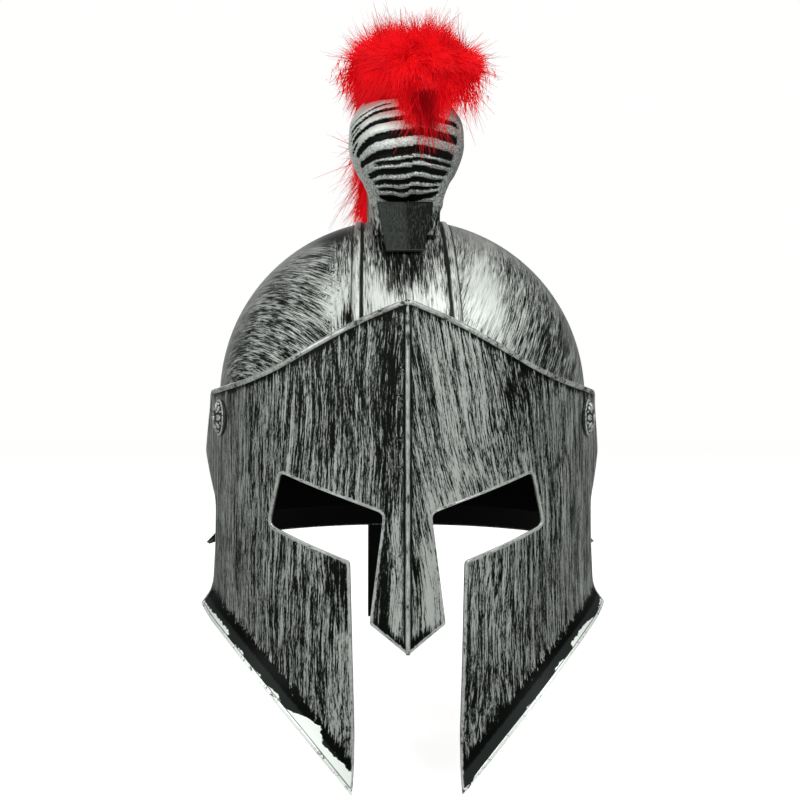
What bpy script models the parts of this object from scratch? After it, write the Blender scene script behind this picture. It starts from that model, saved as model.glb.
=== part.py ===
"""Gladiator helmet: a moulded skull dome with a neck guard, a hinged face visor and a feather crest.

Metres, +Z up, the wearer faces -Y. The origin is the inside of the crown, where the head bears.
Heights in the tables are taken from the belt, the widest level of the dome, and are in millimetres.
"""

import functools
import math
from collections import namedtuple

import bmesh
import bpy
import numpy as np
from mathutils import Matrix, Vector
from mathutils.geometry import delaunay_2d_cdt

MM = 0.001
GAP = 0.5 * MM

# Skull dome
DOME_WALL = 1.8 * MM
CROWN_RISE = 101.0 * MM
DOME_HALF_WIDTH = 102.0 * MM
DOME_FRONT_DEPTH = 110.0 * MM
DOME_REAR_DEPTH = 122.0 * MM
PLAN_POWER = 2.1
PROFILE_POWER = 2.05
BELT_Z = DOME_WALL - CROWN_RISE
CROWN_LENGTH = 112.0 * MM
CROWN_ROWS = 9
SIDE_ROWS = 5
RIM_ROWS = 3
NECK_RIM = -84.0 * MM
NECK_FLARE_START = -69.0 * MM
NECK_FLARE_REACH = 15.5 * MM
NECK_FLARE_AZIMUTH = 101.0
RIM_LENGTH = math.hypot(NECK_FLARE_START - NECK_RIM, NECK_FLARE_REACH)

# Visor
VISOR_WALL = 1.6 * MM
PIVOT_Y = -58.0 * MM
PIVOT_Z = BELT_Z - 9.0 * MM
SHEET_SPACING = 9.5 * MM
EDGE_SPACING = 6.5 * MM
LIP_WIDTH = 9.0 * MM
LIP_REACH = 6.0 * MM
LIP_CURL = 1.25
LIP_ROWS = (0.29, 0.6, 1.0, 1.35)
EDGE_CLEARANCE = 1.8 * MM
BROW_LEAN = 0.06
CHIN_START = -110.0 * MM
CHIN_LENGTH = 78.0 * MM
CHIN_TUCK = 14.0 * MM

# Pivot pins and rosettes
PIN_RADIUS = 2.3 * MM
PIN_HOLE_RADIUS = 2.8 * MM
PIN_HEAD_RADIUS = 4.2 * MM
PIN_HEAD_X = 81.0 * MM
PIN_HEAD_THICKNESS = 1.5 * MM
ROSETTE_RADIUS = 9.5 * MM
ROSETTE_RIM = 1.4 * MM
ROSETTE_RISE = 3.6 * MM

# Crest holder, clip and plume
HOLDER_WALL = 1.6 * MM
HOLDER_CLEARANCE = 1.4 * MM
HOLDER_FRONT_Y = -66.0 * MM
LINE_SPAN = 4.0 * MM
PROW_STEPS = 5
TAIL_SETBACK = 2.5 * MM
TAIL_END_Y = 145.0 * MM
TAIL_END_Z = BELT_Z - 150.0 * MM
CREST_OFFSET = 0.8 * MM
CLIP_THICKNESS = 3.2 * MM
CLIP_ROUNDING = 0.7 * MM
STEM_CLEARANCE = 1.2 * MM
STEM_RISE = 6.0 * MM

RimRow = namedtuple("RimRow", "azimuth height")
PlanRow = namedtuple("PlanRow", "side forward")
EdgeRow = namedtuple("EdgeRow", "around height")
CornerRow = namedtuple("CornerRow", "around height radius")
HolderRow = namedtuple("HolderRow", "along wall_height floor_half top_half")
RosetteRow = namedtuple("RosetteRow", "radius rise")
FistRow = namedtuple("FistRow", "height half_width reach")
ClipRow = namedtuple("ClipRow", "half_width back height")
PlumeRow = namedtuple("PlumeRow", "along lift half_width height side")

# Lower rim of the dome by azimuth from the front: brow, temple, ear cut-out, neck guard.
DOME_RIM = [
    RimRow(0, 12), RimRow(38, 12), RimRow(50, -14), RimRow(60, -25),
    RimRow(88, -27), RimRow(96, -32), RimRow(100, -69), RimRow(102, -84), RimRow(180, -84),
]

# Half plan of the visor's outer face at the belt, from the keel to the ear.
VISOR_PLAN = [
    PlanRow(0, 126.5), PlanRow(9, 123.2), PlanRow(20, 119.8), PlanRow(36, 115.2),
    PlanRow(52, 108.2), PlanRow(66, 98.5), PlanRow(78, 86), PlanRow(88.5, 69.5),
    PlanRow(95.6, 54.5), PlanRow(100.4, 41.5), PlanRow(105.4, 25), PlanRow(109.5, 10),
]

# Edges of the half visor: the distance round the face from the keel, and the height.
BROW_EDGE = [
    EdgeRow(0, 46.3), EdgeRow(13, 41.8), EdgeRow(26, 36.2), EdgeRow(39, 29.8), EdgeRow(52, 23.3),
    EdgeRow(66, 16.8), EdgeRow(88, 10.5), EdgeRow(118, 6.7), EdgeRow(147, 4.8),
]
EAR_CORNERS = [
    CornerRow(147, 4.8, 1), CornerRow(171, -28, 5), CornerRow(134, -52, 12),
    CornerRow(136, -76, 20), CornerRow(144, -107.5, 0),
]
LIP_EDGE = [
    EdgeRow(144, -107.5), EdgeRow(121, -112), EdgeRow(100, -117.6), EdgeRow(84, -125.2),
    EdgeRow(68, -136.6), EdgeRow(53.5, -149.8), EdgeRow(39.5, -165), EdgeRow(25.5, -182),
]
FACE_CORNERS = [
    CornerRow(25.5, -182, 0), CornerRow(28.2, -74.6, 2.5), CornerRow(72.3, -59.6, 4),
    CornerRow(65.1, -34.3, 3), CornerRow(11.8, -52.2, 3.5), CornerRow(18.6, -103, 2),
    CornerRow(0, -116, 0),
]

# Profile of a rosette above its rim, as shares of its radius and its rise.
ROSETTE = [RosetteRow(0.9, 0), RosetteRow(0.72, 0.35), RosetteRow(0.45, 0.75), RosetteRow(0.16, 1)]
ROSETTE_SIDES = 20

# The crest holder's walls, by length along its floor from the front end.
HOLDER = [
    HolderRow(0, 64, 17, 21), HolderRow(25, 60.5, 17.5, 21), HolderRow(50, 55, 18.5, 21),
    HolderRow(75, 50, 18.5, 21), HolderRow(105, 45, 18.5, 21), HolderRow(140, 40, 19, 21.5),
    HolderRow(180, 34, 19, 21.5), HolderRow(220, 29, 19, 21.5), HolderRow(260, 24, 19.5, 21.5),
    HolderRow(300, 19, 20, 21.5), HolderRow(335, 15, 20.5, 21.5), HolderRow(365, 11, 21, 21.5),
    HolderRow(420, 7, 21.2, 21.5),
]
CROWN_STATIONS = 17
TAIL_STATIONS = 3

# The ribbed front end, by height above the floor: a narrow neck under a rounded overhang.
FIST = [
    FistRow(0, 17, 3), FistRow(16, 17.4, 4.5), FistRow(20.5, 18.6, 13), FistRow(26, 21, 21),
    FistRow(34, 25, 27), FistRow(42, 28, 29), FistRow(50, 29, 28.5), FistRow(57, 28, 25.5),
    FistRow(62, 25, 21.5), FistRow(64.5, 21.5, 18),
]
FIST_BLEND = 0.13

# Outer form of the feathers above the holder's top edge, by length along the holder from its front end.
PLUME = [
    PlumeRow(-46, 11, 12, 15, 6), PlumeRow(-40, 4, 24, 29, 6), PlumeRow(-27, 2.2, 33, 35, 6),
    PlumeRow(-8, 2.2, 36, 37, 5.5), PlumeRow(14, 2.2, 34.5, 37, 4), PlumeRow(38, 2.2, 30, 34, 1),
    PlumeRow(70, 2.2, 27, 31, -2), PlumeRow(110, 2.2, 25.5, 29, -4), PlumeRow(150, 2.2, 24.5, 27, -5),
    PlumeRow(190, 2.2, 23.5, 25, -5), PlumeRow(228, 2.2, 22.5, 23, -5), PlumeRow(256, 4, 18, 17, -5),
    PlumeRow(268, 6, 9, 10, -5),
]
PLUME_SIDES = 14
STEM_RANGE = (0.02, 0.6)
STEM_STATIONS = 13

# Outer face of the clip, from its lower edge to its upper one.
CLIP = [ClipRow(9.5, -80.5, 74.5), ClipRow(14.2, -75.8, 99.5)]

BLACK_SILVER = ((0.16, 0.16, 0.16, 1.0), 0.38, 0.75)
SMOKE_GREY = ((0.045, 0.047, 0.05, 1.0), 0.45, 0.0)
FEATHER_RED = ((0.72, 0.01, 0.015, 1.0), 0.85, 0.0)


def clear_scene():
    for obj in list(bpy.data.objects):
        bpy.data.objects.remove(obj, do_unlink=True)


def make_material(name, look):
    color, roughness, metallic = look
    material = bpy.data.materials.new(name)
    material.use_nodes = True
    shader = material.node_tree.nodes["Principled BSDF"]
    shader.inputs["Base Color"].default_value = color
    shader.inputs["Roughness"].default_value = roughness
    shader.inputs["Metallic"].default_value = metallic
    return material


def smooth_value(x, knots_x, knots_y):
    """Cubic curve through the knots, with each knot's slope from its neighbours."""
    knots_x = np.asarray(knots_x, float)
    knots_y = np.asarray(knots_y, float)
    slopes = np.gradient(knots_y, knots_x)
    x = np.clip(x, knots_x[0], knots_x[-1])
    i = np.clip(np.searchsorted(knots_x, x, side="right") - 1, 0, len(knots_x) - 2)
    span = knots_x[i + 1] - knots_x[i]
    t = (x - knots_x[i]) / span
    start = (1 + 2 * t) * (1 - t) ** 2 * knots_y[i] + t * (1 - t) ** 2 * span * slopes[i]
    end = t * t * (3 - 2 * t) * knots_y[i + 1] + t * t * (t - 1) * span * slopes[i + 1]
    return start + end


def polyline_lengths(points):
    steps = np.linalg.norm(np.diff(points, axis=0), axis=1)
    return np.concatenate([[0.0], np.cumsum(steps)])


def points_at(wanted, points):
    """Points on a polyline at the wanted lengths along it."""
    points = np.asarray(points, float)
    lengths = polyline_lengths(points)
    return np.stack([np.interp(wanted, lengths, column) for column in points.T], axis=1)


def resample(points, spacing):
    """Evenly spaced points along a polyline, both ends kept."""
    total = polyline_lengths(points)[-1]
    count = max(1, round(total / spacing))
    return points_at(np.linspace(0, total, count + 1), points)


def add_object(name, mesh, material, parent=None, origin=(0.0, 0.0, 0.0), sharp_angle=35):
    """Link a mesh given in helmet coordinates as an object whose origin is at the given place."""
    mesh.transform(Matrix.Translation(-Vector(origin)))
    mesh.materials.append(material)
    mesh.shade_smooth()
    mesh.set_sharp_from_angle(angle=math.radians(sharp_angle))
    obj = bpy.data.objects.new(name, mesh)
    bpy.context.scene.collection.objects.link(obj)
    obj.parent = parent
    obj.location = Vector(origin) - (parent.location if parent else Vector())
    return obj


def add_wall(obj, thickness):
    """Mirror a half sheet across the middle plane and give it a wall towards its inside."""
    mirror = obj.modifiers.new("both_sides", "MIRROR")
    mirror.merge_threshold = 0.0001
    solid = obj.modifiers.new("wall", "SOLIDIFY")
    solid.thickness = thickness
    solid.offset = -1.0
    solid.use_even_offset = True
    solid.use_quality_normals = True


def add_boolean(obj, other, operation):
    modifier = obj.modifiers.new(operation.lower(), "BOOLEAN")
    modifier.operation = operation
    modifier.solver = "EXACT"
    modifier.object = other


def add_helper(name, mesh):
    """An object that only cuts or joins others."""
    helper = bpy.data.objects.new(name, mesh)
    bpy.context.scene.collection.objects.link(helper)
    helper.hide_render = True
    helper.display_type = "WIRE"
    return helper


def grid_mesh(name, rows, outward):
    """Mesh a grid of points; coincident points merge, and outward says where a face should look."""
    bm = bmesh.new()
    verts = [[bm.verts.new(point) for point in row] for row in rows]
    for upper, lower in zip(verts, verts[1:]):
        for a, b, c, d in zip(upper, upper[1:], lower[1:], lower):
            bm.faces.new((a, b, c, d))
    bmesh.ops.remove_doubles(bm, verts=bm.verts, dist=0.00002)
    return finish_sheet(name, bm, outward)


def finish_sheet(name, bm, outward):
    bmesh.ops.recalc_face_normals(bm, faces=bm.faces)
    looking_out = sum(face.normal.dot(outward(face.calc_center_median())) for face in bm.faces)
    if looking_out < 0:
        bmesh.ops.reverse_faces(bm, faces=bm.faces)
    mesh = bpy.data.meshes.new(name)
    bm.to_mesh(mesh)
    bm.free()
    return mesh


def loft_mesh(name, rings):
    """Closed body through rings of equal size, with a fan at each end."""
    bm = bmesh.new()
    verts = [[bm.verts.new(point) for point in ring] for ring in rings]
    count = len(rings[0])
    for near, far in zip(verts, verts[1:]):
        for k in range(count):
            bm.faces.new((near[k], near[(k + 1) % count], far[(k + 1) % count], far[k]))
    bm.faces.new(verts[0])
    bm.faces.new(verts[-1])
    bmesh.ops.recalc_face_normals(bm, faces=bm.faces)
    mesh = bpy.data.meshes.new(name)
    bm.to_mesh(mesh)
    bm.free()
    return mesh


# ---------------------------------------------------------------- skull dome

def dome_section(azimuth):
    """Outer face of the dome from the crown to the rim at one azimuth, as fine points."""
    rim = rim_height(azimuth)
    side = math.sin(azimuth) ** (2 / PLAN_POWER)
    ahead = abs(math.cos(azimuth)) ** (2 / PLAN_POWER) * math.copysign(1, math.cos(azimuth))
    depth = DOME_FRONT_DEPTH if ahead > 0 else DOME_REAR_DEPTH
    lowest_turn = math.acos((max(0.0, rim) / CROWN_RISE) ** (PROFILE_POWER / 2))
    points = []
    for turn in np.linspace(0, lowest_turn, 60):
        swell = math.sin(turn) ** (2 / PROFILE_POWER)
        height = CROWN_RISE * abs(math.cos(turn)) ** (2 / PROFILE_POWER)
        points.append((DOME_HALF_WIDTH * swell * side, -depth * swell * ahead, BELT_Z + height))
    if rim < 0:
        reach = NECK_FLARE_REACH if math.degrees(azimuth) > NECK_FLARE_AZIMUTH else 0.0
        for height in np.linspace(0, rim, 40)[1:]:
            out = reach * max(0.0, NECK_FLARE_START - height) / (NECK_FLARE_START - NECK_RIM)
            x = DOME_HALF_WIDTH * side + out * math.sin(azimuth)
            y = -depth * ahead - out * math.cos(azimuth)
            points.append((x, y, BELT_Z + height))
    return points


def rim_height(azimuth):
    return float(np.interp(math.degrees(azimuth), *zip(*DOME_RIM))) * MM


def dome_column(azimuth):
    """Mesh rows of one azimuth: shared spacing over the crown, then down the side, then along the rim."""
    section = np.array(dome_section(azimuth))
    lengths = polyline_lengths(section)
    rim_start = lengths[-1] - RIM_LENGTH
    rows = np.concatenate([
        np.linspace(0, CROWN_LENGTH, CROWN_ROWS + 1),
        np.linspace(CROWN_LENGTH, rim_start, SIDE_ROWS + 1)[1:],
        np.linspace(rim_start, lengths[-1], RIM_ROWS + 1)[1:],
    ])
    return points_at(rows, section)


def dome_azimuths():
    """Mesh columns: the brow, the side down to the ear, the guard's front edge, the neck."""
    return np.concatenate([np.linspace(0, 38, 7), np.linspace(44, 96, 9), [100], np.linspace(102, 180, 12)])


def build_dome(pin_cutter):
    columns = [dome_column(azimuth) for azimuth in np.radians(dome_azimuths())]
    for row_end in (columns[0], columns[-1]):
        row_end[:, 0] = 0.0
    centre = Vector((0, 0, BELT_Z))
    mesh = grid_mesh("skull_dome", columns, lambda point: point - centre)
    dome = add_object("skull_dome", mesh, make_material("skull_dome", BLACK_SILVER))
    add_wall(dome, DOME_WALL)
    add_boolean(dome, pin_cutter, "DIFFERENCE")
    return dome


# ---------------------------------------------------------------- visor

def visor_plan():
    """Length round the face, and the plan point there, for each knot of the plan."""
    points = np.array([(row.side * MM, -row.forward * MM) for row in VISOR_PLAN])
    return polyline_lengths(points), points


def visor_point(around, height):
    """Outer face of the visor before its lip is turned out."""
    lengths, plan = visor_plan()
    x = float(smooth_value(around, lengths, plan[:, 0]))
    y = float(smooth_value(around, lengths, plan[:, 1]))
    frontness = min(1.0, max(0.0, (-y / MM - 40) / 86))
    lean = BROW_LEAN * height if height > 0 else 0.5 * BROW_LEAN * height
    if height < CHIN_START:
        lean += CHIN_TUCK * ((CHIN_START - height) / CHIN_LENGTH) ** 2
    return Vector((x, y + lean * frontness, BELT_Z + height))


def visor_normal(around, height):
    step = 0.5 * MM
    across = visor_point(around + step, height) - visor_point(max(0.0, around - step), height)
    up = visor_point(around, height + step) - visor_point(around, height - step)
    return across.cross(up).normalized()


def edge_curve(rows):
    """Smooth curve through an edge table, as points a few millimetres apart."""
    table = np.array(rows, float) * MM
    steps = polyline_lengths(table)
    fine = np.linspace(0, steps[-1], 200)
    curve = np.stack([smooth_value(fine, steps, table[:, 0]), smooth_value(fine, steps, table[:, 1])], axis=1)
    return resample(curve, spacing=EDGE_SPACING)


def corner_curve(rows):
    """Straight runs between corners, each corner rounded by its own radius."""
    points = [np.array((row.around, row.height), float) * MM for row in rows]
    path = [points[0]]
    for before, corner, after, row in zip(points, points[1:], points[2:], rows[1:]):
        path += rounded_corner(before, corner, after, row.radius * MM)
    path.append(points[-1])
    curve = []
    for start, end in zip(path, path[1:]):
        curve.extend(resample([start, end], spacing=EDGE_SPACING)[:-1])
    curve.append(path[-1])
    return np.array(curve)


def rounded_corner(before, corner, after, radius):
    if radius <= 0:
        return [corner]
    arrive = (before - corner) / np.linalg.norm(before - corner)
    leave = (after - corner) / np.linalg.norm(after - corner)
    half_angle = math.acos(np.clip(arrive @ leave, -1, 1)) / 2
    cut = radius / math.tan(half_angle)
    start = corner + arrive * cut
    end = corner + leave * cut
    arc = []
    for t in np.linspace(0, 1, 5):
        arc.append((1 - t) ** 2 * start + 2 * t * (1 - t) * corner + t ** 2 * end)
    return arc


def distance_to_polyline(point, polyline):
    starts = polyline[:-1]
    steps = polyline[1:] - starts
    along = np.einsum("ij,ij->i", point - starts, steps) / np.einsum("ij,ij->i", steps, steps)
    nearest = starts + np.clip(along, 0, 1)[:, None] * steps
    return float(np.min(np.linalg.norm(point - nearest, axis=1)))


def lip_turnout(distance):
    """How far the lip stands off the face, by distance from its edge."""
    depth = max(0.0, 1 - distance / LIP_WIDTH)
    return LIP_REACH * depth ** LIP_CURL


def visor_outline():
    """The half sheet's outline, from the brow's peak round the ear, lip and face to the nose tip."""
    brow = edge_curve(BROW_EDGE)
    ear = corner_curve(EAR_CORNERS)
    lip = edge_curve(LIP_EDGE)
    face = corner_curve(FACE_CORNERS)
    keel = resample([face[-1], brow[0]], spacing=EDGE_SPACING)
    return np.vstack([brow[:-1], ear[:-1], lip[:-1], face[:-1], keel[:-1]]), lip


def sheet_points(outline, lip):
    """Points inside the outline: rows beside the lip, then an even lattice."""
    steps = np.gradient(lip, axis=0)
    inward = np.stack([steps[:, 1], -steps[:, 0]], axis=1)
    inward /= np.linalg.norm(inward, axis=1)[:, None]
    if inward[len(inward) // 2][1] < 0:
        inward = -inward
    inside = []
    for share in LIP_ROWS:
        for point in lip + inward * LIP_WIDTH * share:
            if is_inside(point, outline) and distance_to_polyline(point, outline) > EDGE_CLEARANCE:
                inside.append(point)
    lowest = outline.min(axis=0)
    highest = outline.max(axis=0)
    row_step = SHEET_SPACING * math.sqrt(3) / 2
    for row, height in enumerate(np.arange(lowest[1], highest[1], row_step)):
        for around in np.arange(lowest[0] + SHEET_SPACING * (0.5 + 0.5 * (row % 2)), highest[0], SHEET_SPACING):
            point = np.array((around, height))
            far_from_lip = distance_to_polyline(point, lip) > LIP_WIDTH * LIP_ROWS[-1] + 0.5 * SHEET_SPACING
            clear = distance_to_polyline(point, outline) > 0.5 * SHEET_SPACING
            if far_from_lip and clear and is_inside(point, outline):
                inside.append(point)
    return inside


def is_inside(point, outline):
    ends = np.roll(outline, -1, axis=0)
    crosses = (outline[:, 1] > point[1]) != (ends[:, 1] > point[1])
    slope = (ends[:, 0] - outline[:, 0]) / np.where(crosses, ends[:, 1] - outline[:, 1], 1)
    reach = outline[:, 0] + slope * (point[1] - outline[:, 1])
    return bool(np.count_nonzero(crosses & (point[0] < reach)) % 2)


def build_visor(pivot, pin_cutter):
    outline, lip = visor_outline()
    flat = [Vector(point) for point in outline] + [Vector(point) for point in sheet_points(outline, lip)]
    border = [(i, (i + 1) % len(outline)) for i in range(len(outline))]
    flat, _, triangles, *_ = delaunay_2d_cdt(flat, border, [], 1, 1e-7)
    bm = bmesh.new()
    verts = []
    for point in flat:
        around, height = point
        turnout = lip_turnout(distance_to_polyline(np.array((around, height)), lip))
        place = visor_point(around, height) + visor_normal(around, height) * turnout
        if around < 0.01 * MM:
            place.x = 0.0
        verts.append(bm.verts.new(place))
    for triangle in triangles:
        bm.faces.new([verts[i] for i in triangle])
    mesh = finish_sheet("visor", bm, lambda point: Vector((point.x, point.y, 0)))
    plastic = make_material("visor", BLACK_SILVER)
    visor = add_object("visor", mesh, plastic, parent=pivot, origin=pivot.location)
    add_wall(visor, VISOR_WALL)
    add_boolean(visor, pin_cutter, "DIFFERENCE")
    return visor


# ---------------------------------------------------------------- pins and rosettes

def cylinder_mesh(name, radius, start_x, end_x, centre=(0.0, 0.0), sides=16):
    ring = []
    for k in range(sides):
        turn = 2 * math.pi * k / sides
        ring.append((centre[0] + radius * math.cos(turn), centre[1] + radius * math.sin(turn)))
    return loft_mesh(name, [[Vector((x, y, z)) for y, z in ring] for x in (start_x, end_x)])


def rosette_seat():
    """Where the pivot axis meets the right side's outer face, how far out, and the face's direction."""
    lengths, plan = visor_plan()
    around = float(np.interp(PIVOT_Y, plan[:, 1], lengths))
    facing = visor_normal(around, PIVOT_Z - BELT_Z)
    facing.z = 0.0
    facing.normalize()
    return visor_point(around, PIVOT_Z - BELT_Z).x + GAP / facing.x, facing


def rosette_mesh(side):
    """Domed disc whose back lies along the visor, in coordinates from the pivot axis."""
    seat_x, facing = rosette_seat()
    facing.x *= side
    turn = Vector((0, 0, 1)).rotation_difference(facing).to_matrix().to_4x4()
    seat = Vector((side * seat_x, 0, 0))
    profile = [(ROSETTE_RADIUS, 0.0), (ROSETTE_RADIUS, 0.5 * ROSETTE_RIM)]
    profile += [(ROSETTE_RADIUS * row.radius, ROSETTE_RIM + ROSETTE_RISE * row.rise) for row in ROSETTE]
    rings = []
    for radius, rise in profile:
        ring = []
        for k in range(ROSETTE_SIDES):
            angle = 2 * math.pi * k / ROSETTE_SIDES
            ring.append(turn @ Vector((radius * math.cos(angle), radius * math.sin(angle), rise)) + seat)
        rings.append(ring)
    return loft_mesh("rosette", rings)


def build_rosette(side, name, pivot):
    """A rosette, with the plain pin and pin head that it holds the visor by."""
    mesh = rosette_mesh(side)
    origin = pivot.location
    mesh.transform(Matrix.Translation(origin))
    plastic = make_material(name, BLACK_SILVER)
    rosette = add_object(name, mesh, plastic, parent=pivot, origin=origin, sharp_angle=60)
    middle = (origin.y, origin.z)
    pin_top = rosette_seat()[0] + ROSETTE_RIM
    head_back = PIN_HEAD_X - PIN_HEAD_THICKNESS
    pin_start = PIN_HEAD_X - 0.5 * PIN_HEAD_THICKNESS
    pin = cylinder_mesh(name + "_pin", PIN_RADIUS, side * pin_start, side * pin_top, middle)
    head = cylinder_mesh(name + "_head", PIN_HEAD_RADIUS, side * head_back, side * PIN_HEAD_X, middle)
    add_boolean(rosette, add_helper(name + "_pin", pin), "UNION")
    add_boolean(rosette, add_helper(name + "_head", head), "UNION")
    return rosette


# ---------------------------------------------------------------- crest

@functools.lru_cache(maxsize=1)
def holder_line():
    """The channel's floor in the middle plane, from its front end over the crown to its tail.

    Gives the lengths along it, its points, and the lengths of the neck's bend and of the rim.
    """
    front = [point for point in dome_section(0.0) if point[1] > HOLDER_FRONT_Y]
    crown_line = np.array(front[::-1] + dome_section(math.pi)[1:])[:, 1:]
    along = np.gradient(crown_line, axis=0)
    along /= np.linalg.norm(along, axis=1)[:, None]
    crown_line += np.stack([-along[:, 1], along[:, 0]], axis=1) * HOLDER_CLEARANCE
    tail_top = crown_line[-1] + (TAIL_SETBACK, -TAIL_SETBACK)
    tail = resample([tail_top, (TAIL_END_Y, TAIL_END_Z)], spacing=4 * MM)
    line = np.vstack([crown_line, tail])
    lengths = polyline_lengths(line)
    bend = lengths[np.argmax(line[:, 1] < BELT_Z + NECK_FLARE_START)]
    return lengths, line, bend, lengths[len(crown_line)]


def holder_stations():
    """Even stations down to the neck flare, then one past the rim and the tail's own."""
    lengths, _, bend, rim = holder_line()
    crown = np.linspace(0, bend, CROWN_STATIONS)
    tail = np.linspace(rim, lengths[-1], TAIL_STATIONS)
    return np.concatenate([crown, tail]) / lengths[-1]


def line_point(length):
    lengths, line, *_ = holder_line()
    return Vector((0, float(np.interp(length, lengths, line[:, 0])), float(np.interp(length, lengths, line[:, 1]))))


def holder_frame(station):
    """Floor point, forward and outward directions, wall height and half widths at a station from 0 to 1."""
    total = holder_line()[0][-1]
    along, *columns = np.array(HOLDER, float).T * MM
    length = min(max(station, 0.0), 1.0) * total
    wall_height, floor_half, top_half = (float(smooth_value(length, along, column)) for column in columns)
    forward = (line_point(max(0.0, length - LINE_SPAN)) - line_point(min(total, length + LINE_SPAN))).normalized()
    outward = Vector((0, -forward.z, forward.y))
    if outward.dot(line_point(length) - Vector((0, 0, BELT_Z))) < 0:
        outward = -outward
    upright = max(0.0, 1 - max(station, 0.0) / FIST_BLEND)
    outward = outward.lerp(Vector((0, 0, 1)), upright).normalized()
    place = line_point(length)
    if station <= 0:
        forward = Vector((0, -1, 0))
        place += forward * (-station * total)
    return place, forward, outward, wall_height, floor_half, top_half


def holder_section(station, turn):
    """Half section of the channel: floor centre, floor edge, then up the wall to the top edge."""
    place, forward, outward, wall_height, floor_half, top_half = holder_frame(station)
    fist = np.array(FIST, float) * MM
    fist_share = max(0.0, 1 - station / FIST_BLEND) ** 2
    points = [place.copy()]
    for row in fist:
        rise = row[0] / fist[-1][0]
        plain_half = floor_half + (top_half - floor_half) * rise
        half = plain_half + (row[1] - plain_half) * fist_share
        reach = row[2] * math.sin(turn)
        point = place + outward * (wall_height * rise) + forward * reach
        point.x = half * math.cos(turn)
        points.append(point)
    points.insert(1, points[0].lerp(points[1], 0.5))
    return points


def build_holder():
    sections = [holder_section(0.0, turn) for turn in np.linspace(math.pi / 2, 0, PROW_STEPS + 1)[:-1]]
    for section in sections[:1]:
        for point in section:
            point.x = 0.0
    sections += [holder_section(station, 0.0) for station in holder_stations()]
    mesh = grid_mesh("crest_holder", sections, holder_outward)
    mesh.transform(Matrix.Translation((CREST_OFFSET, 0, 0)))
    plastic = make_material("crest_holder", BLACK_SILVER)
    holder = add_object("crest_holder", mesh, plastic, origin=(CREST_OFFSET, 0, 0))
    add_wall(holder, HOLDER_WALL)
    return holder


def holder_outward(point):
    """Away from the middle of the channel's hollow."""
    stations = np.linspace(0, 1, 41)
    frames = [holder_frame(station) for station in stations]
    nearest = min(frames, key=lambda frame: (frame[0] - Vector((0, point.y, point.z))).length)
    return point - (nearest[0] + nearest[2] * nearest[3] * 0.5)


def build_clip():
    """Smooth tongue that leans from the dome to the neck of the holder's front end."""
    places = [Vector((0, row.back * MM, BELT_Z + row.height * MM)) for row in CLIP]
    along = (places[1] - places[0]).normalized()
    inward = Vector((0, along.z, -along.y))
    rings = []
    for row, place in zip(CLIP, places):
        back = place + inward * CLIP_THICKNESS
        side = Vector((row.half_width * MM, 0, 0))
        rings.append([place - side, place + side, back + side, back - side])
    clip = add_object("crest_clip", loft_mesh("crest_clip", rings), make_material("crest_clip", SMOKE_GREY))
    bevel = clip.modifiers.new("soft_edges", "BEVEL")
    bevel.width = CLIP_ROUNDING
    bevel.segments = 2
    return clip


def plume_ring(row):
    """Section of the feathers' outer form: narrow just above the holder's edge, round above it."""
    place, _, outward, wall_height, *_ = holder_frame(row.along * MM / holder_line()[0][-1])
    base = place + outward * (wall_height + row.lift * MM)
    ring = []
    for k in range(PLUME_SIDES):
        turn = 2 * math.pi * (k + 0.5) / PLUME_SIDES
        rise = 0.5 * (1 + math.sin(turn))
        point = base + outward * (row.height * MM * rise)
        point.x = (row.side + row.half_width * math.cos(turn)) * MM
        ring.append(point)
    return ring


def plume_stem():
    """What of the feathers sits between the holder's walls."""
    rings = []
    for station in np.linspace(*STEM_RANGE, STEM_STATIONS):
        place, _, outward, wall_height, floor_half, top_half = holder_frame(station)
        inner = HOLDER_WALL + STEM_CLEARANCE
        ring = []
        for side, half, height in (
            (-1, floor_half, inner),
            (1, floor_half, inner),
            (1, top_half, wall_height + STEM_RISE),
            (-1, top_half, wall_height + STEM_RISE),
        ):
            point = place + outward * height
            point.x = CREST_OFFSET + side * (half - inner)
            ring.append(point)
        rings.append(ring)
    return loft_mesh("plume_stem", rings)


def build_plume():
    mesh = loft_mesh("plume", [plume_ring(row) for row in PLUME])
    plume = add_object("plume", mesh, make_material("plume", FEATHER_RED), sharp_angle=80)
    add_boolean(plume, add_helper("plume_stem", plume_stem()), "UNION")
    return plume


def build_helmet():
    clear_scene()
    pivot = bpy.data.objects.new("visor_pivot", None)
    bpy.context.scene.collection.objects.link(pivot)
    pivot.location = (0.0, PIVOT_Y, PIVOT_Z)
    reach = DOME_HALF_WIDTH + 20 * MM
    hole = cylinder_mesh("pin_hole", PIN_HOLE_RADIUS, -reach, reach, (PIVOT_Y, PIVOT_Z), sides=12)
    pin_cutter = add_helper("pin_hole", hole)
    build_dome(pin_cutter)
    build_visor(pivot, pin_cutter)
    build_rosette(-1, "rosette_left", pivot)
    build_rosette(1, "rosette_right", pivot)
    build_holder()
    build_clip()
    build_plume()


build_helmet()
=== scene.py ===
"""Gladiator helmet: dry-brushed black plastic with a hinged visor, a ribbed crest and a red feather boa.

Metres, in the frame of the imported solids: +Z up, the wearer faces -Y, the origin is inside the crown.
Tables give millimetres, and their heights are taken from the belt, the widest level of the dome.
"""

import math
from collections import namedtuple

import bmesh
import bpy
import numpy as np
from mathutils import Matrix, Vector
from mathutils.bvhtree import BVHTree


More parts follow.
